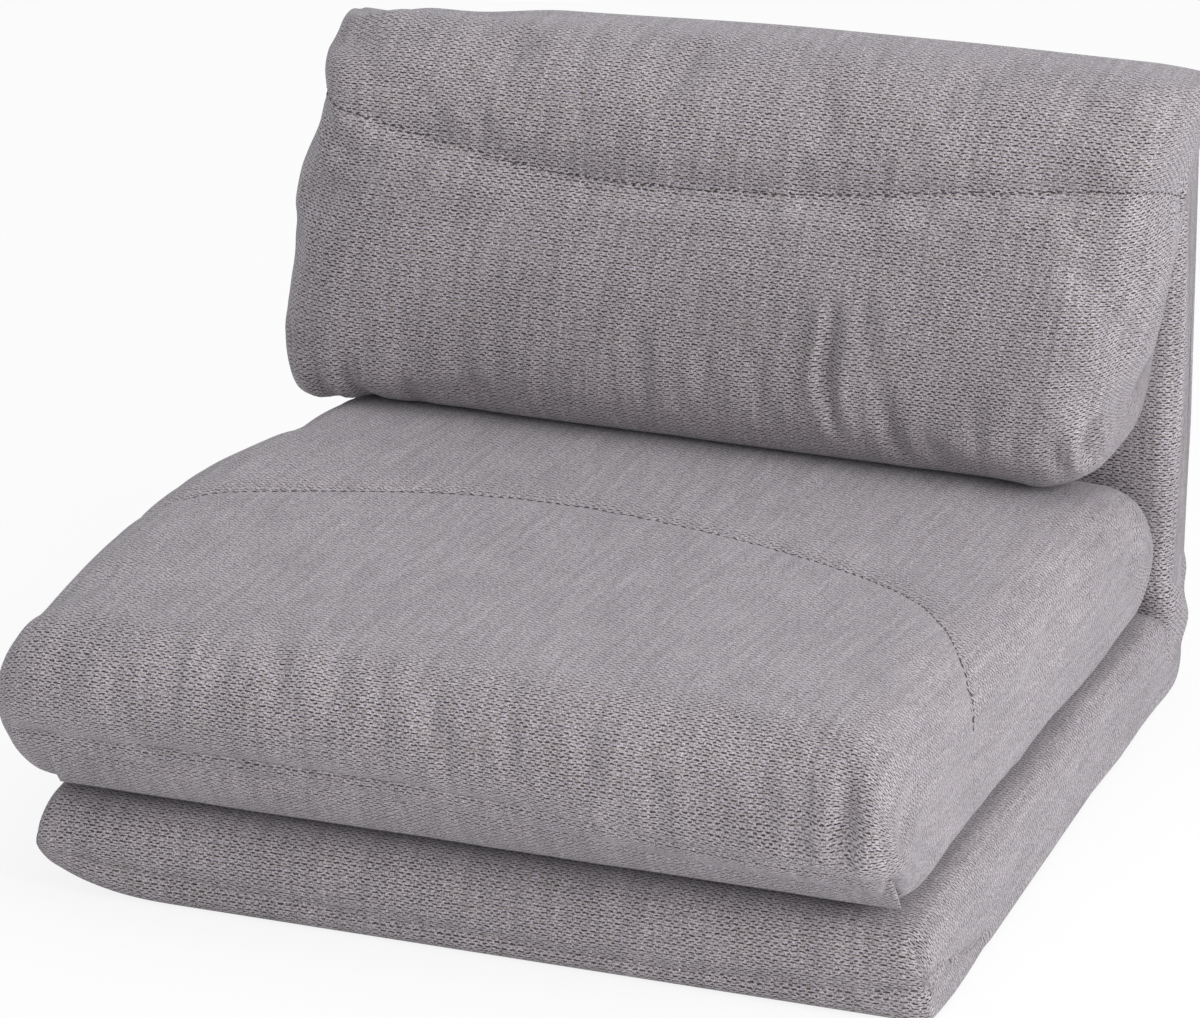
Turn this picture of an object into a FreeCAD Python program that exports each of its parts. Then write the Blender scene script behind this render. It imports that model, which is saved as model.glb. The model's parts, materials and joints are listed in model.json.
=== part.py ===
import FreeCAD, Part

import math
import os

import Sketcher

# One-seat chair bed: a floor base, a seat pad that turns over on a hinge band along the
# front, and a back panel with a hanging cushion that reclines on two ratchet hinges.
# Millimetres. +Z is up, the chair faces -Y, and +X is to the right as seen from the front.
# The origin is on the floor, under the middle of the whole chair.

Vector = FreeCAD.Vector
doc = FreeCAD.newDocument("chair_bed")

# Driving dimensions
DIMENSIONS = [
    ("cloth", 2.0, "thickness of the cover cloth with its backing"),
    ("ease", 0.5, "play between neighbouring pieces"),
    ("base_half_width", 361.0, "half the width of the base"),
    ("base_top", 79.9, "height of the base under the seat"),
    ("base_front", -346.0, "front of the base at its fullest"),
    ("base_rear", 388.9, "rear face of the base"),
    ("turn_y", 349.0, "recline axis, across the depth"),
    ("turn_z", 40.0, "recline axis, height"),
    ("panel_bottom", 80.6, "lower end of the back panel"),
    ("panel_top", 548.0, "top of the back panel"),
    ("panel_front", 331.0, "front face of the back panel"),
    ("panel_half_width", 362.0, "half the width of the back panel"),
    ("cushion_half_width", 374.0, "half the width of the back cushion"),
    ("cushion_top", 554.0, "top of the back cushion"),
    ("cushion_lip", 219.0, "height of the free lower lip of the back cushion"),
    ("cushion_front", 206.0, "front of the back cushion at its fullest"),
    ("seat_half_width", 381.0, "half the width of the seat pad"),
    ("seat_bottom", 84.0, "underside of the seat pad"),
    ("seat_front_height", 234.0, "crown of the seat pad near the front"),
    ("seat_rear_height", 211.0, "top of the seat pad near the back"),
    ("seat_front", -391.0, "front of the seat pad at its fullest"),
    ("seat_rear", 326.0, "rear end of the seat pad"),
    ("band_low_y", -321.0, "lower seam of the hinge band, across the depth"),
    ("band_low_z", 83.4, "lower seam of the hinge band, height"),
    ("band_high_y", -358.0, "upper seam of the hinge band, across the depth"),
    ("band_high_z", 137.0, "upper seam of the hinge band, height"),
    ("band_thick", 6.0, "thickness of the hinge band with its wadding"),
    ("band_half_width", 338.0, "half the length of the hinge band"),
    ("tube_radius", 9.5, "outer radius of the frame tubes"),
    ("tube_wall", 1.2, "wall of the frame tubes"),
    ("frame_bend", 60.0, "bend radius of the frame tubes"),
    ("base_tube_x", 300.0, "legs of the base frame, off the middle"),
    ("base_tube_front", -290.0, "front bar of the base frame"),
    ("base_tube_rear", 318.0, "rear ends of the base frame"),
    ("back_tube_x", 303.5, "legs of the back frame, off the middle"),
    ("back_tube_y", 360.0, "plane of the back frame"),
    ("back_tube_low", 94.0, "lower ends of the back frame"),
    ("back_tube_top", 500.0, "top bar of the back frame"),
    ("cross_radius", 8.0, "outer radius of the cross tubes"),
    ("plate_inside", 309.7, "inner face of the fixed hinge plate"),
    ("plate_thick", 3.0, "thickness of the hinge plates"),
    ("arm_inside", 313.2, "inner face of the swinging hinge arm"),
    ("cap_inside", 316.7, "inner face of the hinge cap"),
    ("cap_thick", 2.0, "thickness of the hinge cap"),
    ("hub_radius", 26.0, "hub of the fixed hinge plate"),
    ("wheel_radius", 22.0, "ratchet wheel on the swinging arm"),
    ("notch_radius", 3.2, "notches of the ratchet wheel"),
    ("notch_circle", 22.5, "circle of the notch centres"),
    ("nose_angle", 190.0, "place of the pawl's nose round the wheel, in degrees"),
    ("position_step", 22.5, "angle between two positions of the back, in degrees"),
    ("pivot_radius", 5.0, "pivot rivet of the ratchet hinge"),
    ("strap_width", 20.0, "width of the hinge straps"),
    ("pawl_lift", 7.0, "angle that the pawl is lifted by, in degrees"),
    ("pawl_length", 24.0, "pawl, from its pin to its nose"),
    ("pawl_pin", 3.0, "radius of the pawl's pin"),
    ("nose_radius", 2.6, "radius of the pawl's nose"),
    ("rivet_radius", 3.0, "shank of the frame rivets"),
    ("rivet_head", 5.0, "radius of the heads of the frame rivets"),
    ("rivet_head_thick", 1.4, "thickness of the heads of the frame rivets"),
    ("pivot_head", 9.0, "radius of the heads of the pivot rivet"),
    ("pivot_head_thick", 2.4, "thickness of the heads of the pivot rivet"),
    ("pin_head", 5.0, "radius of the heads of the pawl's pin"),
    ("pin_head_thick", 1.6, "thickness of the heads of the pawl's pin"),
    ("lobe_radius", 8.5, "lobe round the pawl's pin on plate and cap"),
    ("boss_radius", 5.2, "boss of the pawl round its pin"),
    ("post_radius", 1.5, "post that the pawl's spring stands on"),
    ("post_length", 3.6, "length of the spring's post"),
    ("leaf_thick", 0.6, "thickness of the pawl's leaf spring"),
    ("leaf_width", 2.6, "width of the pawl's leaf spring"),
    ("leaf_rise", 13.0, "blade of the leaf spring, from foot to tip"),
    ("pocket_depth", 36.0, "room in the foam for a hinge, across the chair"),
    ("foam_half_width", 330.0, "half the width of the base foam"),
    ("foam_front", -318.0, "front of the base foam"),
    ("foam_rear", 309.0, "rear end of the base foam"),
    ("foam_bottom", 3.0, "underside of the base foam"),
    ("foam_top", 70.0, "top of the base foam"),
    ("roll_radius", 34.0, "foam roll round the recline axis"),
    ("roll_half_width", 288.0, "half the length of the foam roll"),
    ("wadding_half_width", 318.0, "half the width of the base wadding"),
    ("wadding_thick", 6.4, "thickness of the base wadding"),
    ("panel_foam_half_width", 334.0, "half the width of the back panel's foam"),
    ("panel_foam_low", 92.0, "lower end of the back panel's foam"),
    ("panel_foam_high", 516.0, "top of the back panel's foam"),
    ("core_half_width", 320.0, "half the width of the seat's foam core"),
    ("core_front", -280.0, "front of the seat's foam core"),
    ("core_depth", 560.0, "seat's foam core, front to back"),
    ("core_bottom", 98.0, "underside of the seat's foam core"),
    ("core_thick", 70.0, "thickness of the seat's foam core"),
    ("window_half_width", 322.0, "half the width of the black underside cloth"),
    ("window_front", -308.0, "front of the black underside cloth"),
    ("window_rear", 352.0, "rear end of the black underside cloth"),
    ("under_thick", 1.4, "thickness of the underside cloth"),
    ("gusset_half_width", 342.0, "half the width of the gusset over the hinge"),
    ("gusset_low", 26.0, "lower seam of the gusset"),
    ("gusset_rise", 74.0, "gusset, from its lower to its upper seam"),
    ("gusset_thick", 1.5, "thickness of the gusset"),
]

sheet = doc.addObject("Spreadsheet::Sheet", "Sizes")
for row, (alias, number, meaning) in enumerate(DIMENSIONS, start=1):
    sheet.set("A%d" % row, alias)
    sheet.set("B%d" % row, str(number))
    sheet.set("C%d" % row, meaning)
    sheet.setAlias("B%d" % row, alias)
doc.recompute()

parts = []
sides = (("left", -1), ("right", 1))


def size(alias):
    """Give a driving dimension as a number."""
    return float(getattr(sheet, alias))


def keep(item, label):
    """Name a finished piece and put it on the list of pieces."""
    item.Label = label
    parts.append(item)
    return item


def bind(item, **expressions):
    """Bind properties of an object to the sheet; x, y and z are its place."""
    places = {"x": "Placement.Base.x", "y": "Placement.Base.y", "z": "Placement.Base.z"}
    for name, expression in expressions.items():
        item.setExpression(places.get(name, name), expression)
    return item


def block(name, length, width, height, x, y, z):
    """Make a box from expressions for its size and its lowest corner."""
    item = doc.addObject("Part::Box", name)
    return bind(item, Length=length, Width=width, Height=height, x=x, y=y, z=z)


def round_bar(name, radius, length, x, y, z):
    """Make a round bar from expressions; it runs across the chair from its lowest x."""
    item = doc.addObject("Part::Cylinder", name)
    item.Placement = FreeCAD.Placement(Vector(), FreeCAD.Rotation(Vector(0, 1, 0), 90))
    return bind(item, Radius=radius, Height=length, x=x, y=y, z=z)


def joined(name, items):
    """Fuse objects into one."""
    item = doc.addObject("Part::MultiFuse", name)
    item.Shapes = items
    return item


def cut(name, base, tools):
    """Cut tools out of a base object."""
    item = doc.addObject("Part::Cut", name)
    item.Base = base
    item.Tool = tools[0] if len(tools) == 1 else joined(name + "_tools", tools)
    return item


def solid_feature(name, shape):
    """Hold a shape made from curves in the document."""
    item = doc.addObject("Part::Feature", name)
    item.Shape = shape
    return item


def both_sides(side, inner, thickness):
    """Expression for the lower x of a plate that starts at inner and goes outwards."""
    if side > 0:
        return inner
    return "-(%s) - (%s)" % (inner, thickness)


# Soft forms
# Each is a loft across the chair through profiles of lines and arcs. A profile is a list of
# (y, z, swell): a corner, and how far the edge to the next corner swells outwards.
# Towards the sides the profiles shrink along a full quarter curve, which rounds the form.
STATIONS = (0.0, 0.34, 0.62, 0.80, 0.87, 0.92, 0.955, 0.98, 0.994)
FULLNESS = 2.6
FLAT_CUT = 0.5


def profile_wire(x, corners):
    """Close a profile at one x from its corners and swells, listed either way round."""
    edges = []
    area = 0.0
    for index, (y, z, _) in enumerate(corners):
        area += corners[index - 1][0] * z - y * corners[index - 1][1]
    way = 1 if area > 0 else -1
    for index, (y, z, swell) in enumerate(corners):
        next_y, next_z, _ = corners[(index + 1) % len(corners)]
        start = Vector(x, y, z)
        end = Vector(x, next_y, next_z)
        if swell == 0:
            edges.append(Part.LineSegment(start, end).toShape())
            continue
        run = end - start
        outward = Vector(0, run.z, -run.y).normalize()
        middle = (start + end) * 0.5 + outward * (swell * way)
        edges.append(Part.Arc(start, middle, end).toShape())
    return Part.Wire(edges)


def side_fall(x, half_width, depth):
    """Give the share of a full quarter curve left at x, and how far the corner has fallen."""
    into = max(0.0, abs(x) - (half_width - depth)) / depth
    left = (1.0 - into ** FULLNESS) ** (1.0 / FULLNESS)
    return left, 1.0 - left


def loft_form(half_width, corners_at, inset=0.0):
    """Loft a soft form across the chair, or the same form inset on every side."""
    places = [-share for share in reversed(STATIONS)] + list(STATIONS[1:])
    outline = [point for share in places for point in corners_at(share * half_width)]
    low = [min(point[axis] for point in outline) for axis in (0, 1)]
    high = [max(point[axis] for point in outline) for axis in (0, 1)]
    middle = [(low[axis] + high[axis]) / 2 for axis in (0, 1)]
    shrink = [1 - 2 * inset / (high[axis] - low[axis]) for axis in (0, 1)]
    wires = []
    for share in places:
        corners = []
        for y, z, swell in corners_at(share * half_width):
            inner_y = middle[0] + (y - middle[0]) * shrink[0]
            inner_z = middle[1] + (z - middle[1]) * shrink[1]
            corners.append((inner_y, inner_z, swell * min(shrink)))
        wires.append(profile_wire(share * (half_width - inset), corners))
    return Part.makeLoft(wires, True, False, False, 3)


def base_corners(x):
    """Profile of the base: full at the front, round at its rear end."""
    left, fall = side_fall(x, size("base_half_width"), 46.0)
    middle = 34.0
    top = middle + (size("base_top") - middle) * left
    low = 14.0 * fall - FLAT_CUT
    front = size("base_front") + 42.0 * fall
    rear = size("base_rear") - 14.0 * fall
    nose = rear - size("turn_y")
    rise = top - size("turn_z")
    return [
        (front + 12.0, low, 0.0),
        (rear - 10.0, low, 3.0),
        (rear, low + 10.0, 0.0),
        (rear, size("turn_z") - 8.0 * fall, quarter_swell(nose, rise + 8.0 * fall)),
        (size("turn_y") - 10.0 * fall, top, 0.0),
        (front + 23.0, top - 0.9, 7.0 * left),
        (front, 36.0, 6.0),
    ]


def quarter_swell(run, rise):
    """Swell of the arc over a quarter ellipse, kept a little inside it."""
    chord = math.hypot(run, rise)
    return 0.2 * chord * min(1.0, rise / max(run, 1.0))


def seat_corners(x):
    """Profile of the seat pad: crowned top with its stitched arch, full front over the band."""
    half = size("seat_half_width")
    left, fall = side_fall(x, half, 74.0)
    share = x / half
    middle = 142.0
    crown = 5.0 * share * share

    def upper(height):
        return middle + (height - crown - middle) * left

    low = middle - (middle - size("seat_bottom")) * (1 - fall ** 2.2)
    front = 46.0 * fall
    rear = 34.0 * fall
    band_y = size("band_high_y")
    band_z = size("band_high_z")
    arch = 56.0 - 330.0 * share ** 2
    arch_y = max(arch, -250.0)
    back_gap = 20.0 * fall
    return [
        (size("band_low_y") + 5.0 + front * 0.7, low, 0.0),
        (size("seat_rear") - 24.0 - rear, low, 7.0 * left),
        (size("seat_rear") - rear, middle, 10.0 * left + 0.5),
        (size("seat_rear") - 44.0 - rear, upper(size("seat_rear_height") - 3.0), 4.0 * left),
        (arch_y + back_gap, upper(size("seat_rear_height") + 5.0), 8.0 * left),
        (size("seat_front") + 58.0 + front, upper(size("seat_front_height")), 12.0 * left + 1.0),
        (size("seat_front") + front, middle + 46.0 * left, 7.0 * left),
        (band_y + 3.6 + front * 0.9, band_z + 2.6 - 6.0 * fall, 0.0),
    ]


def panel_corners(x):
    """Profile of the back panel: a thin slab with a round top."""
    left, fall = side_fall(x, size("panel_half_width"), 34.0)
    rear = size("base_rear")
    middle = (size("panel_front") + rear) / 2
    half = (rear - size("panel_front")) / 2 * left
    low = size("panel_bottom") + 9.0 * fall
    top = size("panel_top") - 24.0 * fall
    return [
        (middle - half, low, 0.0),
        (middle + half, low, 0.0),
        (middle + half, top - 27.0, 7.0 * left),
        (middle + half * 0.2, top, 1.0 * left),
        (middle - half, top - 2.0, 0.0),
    ]


def cushion_corners(x):
    """Profile of the back cushion: head roll, stitched valley, full lower half, free lip."""
    half = size("cushion_half_width")
    left, fall = side_fall(x, half, 62.0)
    share = x / half
    back = size("panel_front") - size("ease")
    seam = 424.0 + 46.0 * share * share
    lip = size("cushion_lip")

    def forward(y):
        return back - (back - y) * left

    low = 46.0 * fall
    high = 26.0 * fall
    return [
        (back, lip + 24.0 + low, 6.0 * left),
        (forward(back - 34.0), lip + low, 3.5 * left),
        (forward(size("cushion_front") + 34.0), lip + 1.0 + low, 11.0 * left),
        (forward(size("cushion_front")), 302.0 + low * 0.5, 9.0 * left),
        (forward(size("cushion_front") + 36.0), seam, 23.0 * left),
        (forward(size("cushion_front") + 102.0), size("cushion_top") - high, 1.5 * left),
        (back, size("cushion_top") - 7.0 - high, 0.0),
    ]


def shell(name, half_width, corners_at, thickness):
    """Cover cloth: a soft form hollowed by the same form inset by the cloth."""
    outer = loft_form(half_width, corners_at)
    inner = loft_form(half_width, corners_at, thickness)
    return solid_feature(name, outer.cut(inner))


# Frames
def sketch_on(body, name, role):
    """Put a sketch on one of a body's own origin planes."""
    sketch = body.newObject("Sketcher::SketchObject", name)
    plane = [item for item in body.Origin.OriginFeatures if item.Role == role][0]
    sketch.AttachmentSupport = [(plane, "")]
    sketch.MapMode = "FlatFace"
    return sketch


def bend_path(body, name, role, across, end, bar, turn):
    """Path of a tube bent to a U: two legs, two bends and the bar between them.

    across, end, bar and turn are aliases: the legs' distance off the middle, the open
    ends, the bar and the bend radius.
    """
    sketch = sketch_on(body, name, role)
    wide = size(across)
    bend = size(turn)
    sign = 1 if size(end) > size(bar) else -1
    stop = size(bar) + sign * bend
    right_leg = Part.LineSegment(Vector(wide, size(end), 0), Vector(wide, stop, 0))
    left_leg = Part.LineSegment(Vector(-wide, stop, 0), Vector(-wide, size(end), 0))
    middle_bar = Part.LineSegment(Vector(wide - bend, size(bar), 0), Vector(bend - wide, size(bar), 0))
    reach = bend * math.sqrt(0.5)
    right_bend = Part.Arc(
        Vector(wide, stop, 0),
        Vector(wide - bend + reach, stop - sign * reach, 0),
        Vector(wide - bend, size(bar), 0),
    )
    left_bend = Part.Arc(
        Vector(bend - wide, size(bar), 0),
        Vector(bend - wide - reach, stop - sign * reach, 0),
        Vector(-wide, stop, 0),
    )
    for curve in (right_leg, right_bend, middle_bar, left_bend, left_leg):
        sketch.addGeometry(curve, False)
    sketch.addConstraint(Sketcher.Constraint("Vertical", 0))
    sketch.addConstraint(Sketcher.Constraint("Vertical", 4))
    sketch.addConstraint(Sketcher.Constraint("Horizontal", 2))
    named = [
        ("across", Sketcher.Constraint("DistanceX", -1, 1, 0, 1, wide), "Sizes." + across),
        ("mirror", Sketcher.Constraint("DistanceX", -1, 1, 4, 2, -wide), "-Sizes." + across),
        ("open_end", Sketcher.Constraint("DistanceY", -1, 1, 0, 1, size(end)), "Sizes." + end),
        ("other_end", Sketcher.Constraint("DistanceY", -1, 1, 4, 2, size(end)), "Sizes." + end),
        ("crossbar", Sketcher.Constraint("DistanceY", -1, 1, 2, 1, size(bar)), "Sizes." + bar),
        ("bend", Sketcher.Constraint("Radius", 1, bend), "Sizes." + turn),
        ("other_bend", Sketcher.Constraint("Radius", 3, bend), "Sizes." + turn),
    ]
    starts = arc_ends(sketch)
    for first, second in ((0, 1), (1, 2), (2, 3), (3, 4)):
        near = nearest_ends(starts, first, second)
        sketch.addConstraint(Sketcher.Constraint("Tangent", first, near[0], second, near[1]))
    for label, constraint, expression in named:
        index = sketch.addConstraint(constraint)
        sketch.renameConstraint(index, label)
        sketch.setExpression("Constraints." + label, expression)
    return sketch


def arc_ends(sketch):
    """List the start and end point of each curve in a sketch."""
    return [(sketch.getPoint(index, 1), sketch.getPoint(index, 2)) for index in range(sketch.GeometryCount)]


def nearest_ends(ends, first, second):
    """Find which ends of two curves meet."""
    pairs = [(a, b) for a in (0, 1) for b in (0, 1)]
    best = min(pairs, key=lambda pair: (ends[first][pair[0]] - ends[second][pair[1]]).Length)
    return best[0] + 1, best[1] + 1


def bent_tube(label, role, across, end, bar, profile_role, plane_alias):
    """Frame tube bent to a U, lying in one of the origin planes and then set in its place."""
    body = doc.addObject("PartDesign::Body", label)
    path = bend_path(body, label + "_path", role, across, end, bar, "frame_bend")
    ring = sketch_on(body, label + "_ring", profile_role)
    ring.addGeometry(Part.Circle(Vector(), Vector(0, 0, 1), size("tube_radius")), False)
    ring.addGeometry(Part.Circle(Vector(), Vector(0, 0, 1), size("tube_radius") - size("tube_wall")), False)
    ring.addConstraint(Sketcher.Constraint("Coincident", 0, 3, 1, 3))
    height = ring.addConstraint(Sketcher.Constraint("DistanceY", -1, 1, 0, 3, 0.0))
    place = ring.addConstraint(Sketcher.Constraint("DistanceX", -1, 1, 0, 3, size(across)))
    outer = ring.addConstraint(Sketcher.Constraint("Radius", 0, size("tube_radius")))
    inner = ring.addConstraint(Sketcher.Constraint("Radius", 1, size("tube_radius") - size("tube_wall")))
    ring.renameConstraint(height, "height")
    ring.renameConstraint(place, "place")
    ring.renameConstraint(outer, "outer")
    ring.renameConstraint(inner, "inner")
    ring.setExpression("Constraints.place", "Sizes." + across)
    ring.setExpression("Constraints.outer", "Sizes.tube_radius")
    ring.setExpression("Constraints.inner", "Sizes.tube_radius - Sizes.tube_wall")
    offset_sign = "-" if profile_role == "XZ_Plane" else ""
    ring.setExpression("AttachmentOffset.Base.z", offset_sign + "Sizes." + end)
    doc.recompute()
    pipe = body.newObject("PartDesign::AdditivePipe", label + "_pipe")
    pipe.Profile = ring
    pipe.Spine = path
    body.Tip = pipe
    bind(body, **{plane_alias[0]: "Sizes." + plane_alias[1]})
    return body


def rivet_holes(body, label, centres):
    """Drill the rivet holes through both legs of a frame, across the chair."""
    sketch = sketch_on(body, label + "_drill", "YZ_Plane")
    for index, (across, upward) in enumerate(centres):
        circle = Part.Circle(Vector(across, upward, 0), Vector(0, 0, 1), size("rivet_radius"))
        sketch.addGeometry(circle, False)
        drill = sketch.addConstraint(Sketcher.Constraint("Radius", index, size("rivet_radius")))
        name = "hole_%d" % index
        sketch.renameConstraint(drill, name)
        sketch.setExpression("Constraints." + name, "Sizes.rivet_radius + 0.05")
        sketch.addConstraint(Sketcher.Constraint("DistanceX", -1, 1, index, 3, across))
        sketch.addConstraint(Sketcher.Constraint("DistanceY", -1, 1, index, 3, upward))
    doc.recompute()
    before = body.Shape.Volume
    pocket = body.newObject("PartDesign::Pocket", label + "_holes")
    pocket.Profile = sketch
    pocket.Type = 1
    pocket.Midplane = True
    body.Tip = pocket
    doc.recompute()
    assert body.Shape.Volume < before - 1.0, label + " has no rivet holes"


BACK_POSITIONS = 5
base_rivets_y = (215.0, 262.0)
back_rivets_z = (150.0, 205.0)

base_frame = bent_tube(
    "base_frame", "XY_Plane", "base_tube_x", "base_tube_rear", "base_tube_front", "XZ_Plane",
    ("z", "turn_z"),
)
rivet_holes(base_frame, "base_frame", [(place, 0.0) for place in base_rivets_y])
keep(base_frame, "base_frame")

back_frame = bent_tube(
    "back_frame", "XZ_Plane", "back_tube_x", "back_tube_low", "back_tube_top", "XY_Plane",
    ("y", "back_tube_y"),
)
rivet_holes(back_frame, "back_frame", [(0.0, place) for place in back_rivets_z])
keep(back_frame, "back_frame")


def cross_tubes(label, leg_alias, places):
    """Straight tubes between the legs of a frame; places are (y, z) expressions."""
    tubes = []
    for index, (y, z) in enumerate(places):
        name = "%s_%d" % (label, index)
        reach = "Sizes.%s - Sizes.tube_radius - 0.05" % leg_alias
        outer = round_bar(name + "_outer", "Sizes.cross_radius", "2 * (%s)" % reach, "-(%s)" % reach, y, z)
        inner = "Sizes.cross_radius - Sizes.tube_wall"
        room = round_bar(name + "_bore", inner, "2 * (%s) + 2" % reach, "-(%s) - 1" % reach, y, z)
        tubes.append(cut(name, outer, [room]))
    return keep(joined(label, tubes), label)


base_cross_y = (-60.0, 170.0)
back_cross_z = (120.0, 320.0)
base_crossings = [("%g" % place, "Sizes.turn_z") for place in base_cross_y]
back_crossings = [("Sizes.back_tube_y", "%g" % place) for place in back_cross_z]
cross_tubes("base_cross_tubes", "base_tube_x", base_crossings)
cross_tubes("back_cross_tubes", "back_tube_x", back_crossings)


# Ratchet hinges, one on each side
def around(radius, degrees):
    """Point on a circle about the recline axis, as (y, z) numbers."""
    angle = math.radians(degrees)
    return size("turn_y") + radius * math.cos(angle), size("turn_z") + radius * math.sin(angle)


def pawl_places():
    """Pin of the pawl, and its nose lifted off the wheel."""
    nose_y, nose_z = around(size("notch_circle"), size("nose_angle"))
    angle = math.radians(size("nose_angle"))
    bolt_y = nose_y + size("pawl_length") * math.sin(angle)
    bolt_z = nose_z - size("pawl_length") * math.cos(angle)
    lift = math.radians(-size("pawl_lift"))
    arm_y = nose_y - bolt_y
    arm_z = nose_z - bolt_z
    lifted_y = bolt_y + arm_y * math.cos(lift) - arm_z * math.sin(lift)
    lifted_z = bolt_z + arm_y * math.sin(lift) + arm_z * math.cos(lift)
    return (bolt_y, bolt_z), (lifted_y, lifted_z)


pawl_pin_place, nose_lifted = pawl_places()
pin_y = "%.6f" % pawl_pin_place[0]
pin_z = "%.6f" % pawl_pin_place[1]
spring_post = (nose_lifted[0] - 14.5, nose_lifted[1] - 5.0)


def bore(name, radius_alias, play, thick_alias, x, y, z):
    """Round hole through a plate that starts at x; play is added to the pin's radius."""
    radius = "Sizes.%s + %g" % (radius_alias, play)
    return round_bar(name, radius, "Sizes.%s + 2" % thick_alias, x + " - 1", y, z)


def hinge_plate(word, side):
    """Fixed plate of a hinge: hub, lobe for the pawl and a strap riveted to the base frame."""
    name = "hinge_plate_" + word
    x = both_sides(side, "Sizes.plate_inside", "Sizes.plate_thick")
    thick = "Sizes.plate_thick"
    strap_start = base_rivets_y[0] - 15.0
    web_start = spring_post[0] - 5.0
    web_rise = 26.0
    strap = block(
        name + "_strap", thick, "Sizes.turn_y - %g" % strap_start, "Sizes.strap_width",
        x, "%g" % strap_start, "Sizes.turn_z - Sizes.strap_width / 2",
    )
    hub = round_bar(name + "_hub", "Sizes.hub_radius", thick, x, "Sizes.turn_y", "Sizes.turn_z")
    lobe = round_bar(name + "_lobe", "Sizes.lobe_radius", thick, x, pin_y, pin_z)
    web = block(
        name + "_web", thick, "Sizes.turn_y - %.6f" % web_start, "%.6f" % (pawl_pin_place[1] - web_rise),
        x, "%.6f" % web_start, "%g" % web_rise,
    )
    bores = [
        bore(name + "_pivot", "pivot_radius", 0.03, "plate_thick", x, "Sizes.turn_y", "Sizes.turn_z"),
        bore(name + "_pin", "pawl_pin", 0.03, "plate_thick", x, pin_y, pin_z),
    ]
    for index, place in enumerate(base_rivets_y):
        hole = "%s_rivet_%d" % (name, index)
        bores.append(bore(hole, "rivet_radius", 0.05, "plate_thick", x, "%g" % place, "Sizes.turn_z"))
    plate = joined(name + "_blank", [strap, hub, lobe, web])
    pierced = cut(name + "_pierced", plate, bores)
    post_x = both_sides(side, "Sizes.plate_inside + Sizes.plate_thick", "Sizes.post_length")
    post_place = ["%.6f" % place for place in spring_post]
    post = round_bar(name + "_post", "Sizes.post_radius", "Sizes.post_length", post_x, *post_place)
    return keep(joined(name, [pierced, post]), name)


def hinge_arm(word, side):
    """Swinging arm of a hinge: notched wheel and a strap riveted to the back frame."""
    name = "hinge_arm_" + word
    x = both_sides(side, "Sizes.arm_inside", "Sizes.plate_thick")
    thick = "Sizes.plate_thick"
    wheel = round_bar(name + "_wheel", "Sizes.wheel_radius", thick, x, "Sizes.turn_y", "Sizes.turn_z")
    half = size("strap_width") / 2
    near = size("turn_y")
    far = size("back_tube_y")
    crank_low = size("panel_bottom") + 4.0
    crank_high = size("panel_bottom") + 34.0
    end = back_rivets_z[1] + 15.0
    outline = [
        (near - half, size("turn_z")),
        (near + half, size("turn_z")),
        (near + half, crank_low),
        (far + half, crank_high),
        (far + half, end),
        (far - half, end),
        (far - half, crank_high),
        (near - half, crank_low),
    ]
    start = size("arm_inside") if side > 0 else -size("arm_inside") - size("plate_thick")
    corners = [Vector(start, y, z) for y, z in outline]
    face = Part.Face(Part.makePolygon(corners + corners[:1]))
    strap = solid_feature(name + "_strap", face.extrude(Vector(size("plate_thick"), 0, 0)))
    holes = [bore(name + "_pivot", "pivot_radius", 0.05, "plate_thick", x, "Sizes.turn_y", "Sizes.turn_z")]
    for index in range(BACK_POSITIONS):
        y, z = around(size("notch_circle"), size("nose_angle") + index * size("position_step"))
        hole = "%s_notch_%d" % (name, index)
        holes.append(bore(hole, "notch_radius", 0.0, "plate_thick", x, "%.6f" % y, "%.6f" % z))
    for index, place in enumerate(back_rivets_z):
        hole = "%s_rivet_%d" % (name, index)
        holes.append(bore(hole, "rivet_radius", 0.05, "plate_thick", x, "Sizes.back_tube_y", "%g" % place))
    blank = joined(name + "_blank", [wheel, strap])
    return keep(cut(name, blank, holes), name)


def hinge_cap(word, side):
    """Outer plate that closes a hinge over its wheel and pawl."""
    name = "hinge_cap_" + word
    x = both_sides(side, "Sizes.cap_inside", "Sizes.cap_thick")
    thick = "Sizes.cap_thick"
    hub = round_bar(name + "_hub", "Sizes.hub_radius", thick, x, "Sizes.turn_y", "Sizes.turn_z")
    lobe = round_bar(name + "_lobe", "Sizes.lobe_radius", thick, x, pin_y, pin_z)
    web = block(
        name + "_web", thick, "Sizes.hub_radius - 6", "Sizes.hub_radius - 4",
        x, "%.6f" % (pawl_pin_place[0] + 2.0), "%.6f" % (pawl_pin_place[1] - 18.0),
    )
    bores = [
        bore(name + "_pivot", "pivot_radius", 0.03, "cap_thick", x, "Sizes.turn_y", "Sizes.turn_z"),
        bore(name + "_pin", "pawl_pin", 0.03, "cap_thick", x, pin_y, pin_z),
    ]
    return keep(cut(name, joined(name + "_blank", [hub, lobe, web]), bores), name)


def headed_pin(name, side, shank, head, head_thick, start, length, y, z):
    """Rivet across the chair with a head at both ends; start is the inner side of its grip.

    head and head_thick are aliases, the rest are expressions.
    """
    wide = "Sizes." + head
    deep = "Sizes." + head_thick
    grip_x = both_sides(side, start, length)
    shank_bar = round_bar(name + "_shank", shank, length, grip_x, y, z)
    inner_x = both_sides(side, "%s - %s" % (start, deep), deep)
    outer_x = both_sides(side, "%s + %s" % (start, length), deep)
    heads = [
        round_bar(name + "_inner_head", wide, deep, inner_x, y, z),
        round_bar(name + "_outer_head", wide, deep, outer_x, y, z),
    ]
    return joined(name, [shank_bar] + heads)


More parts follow.
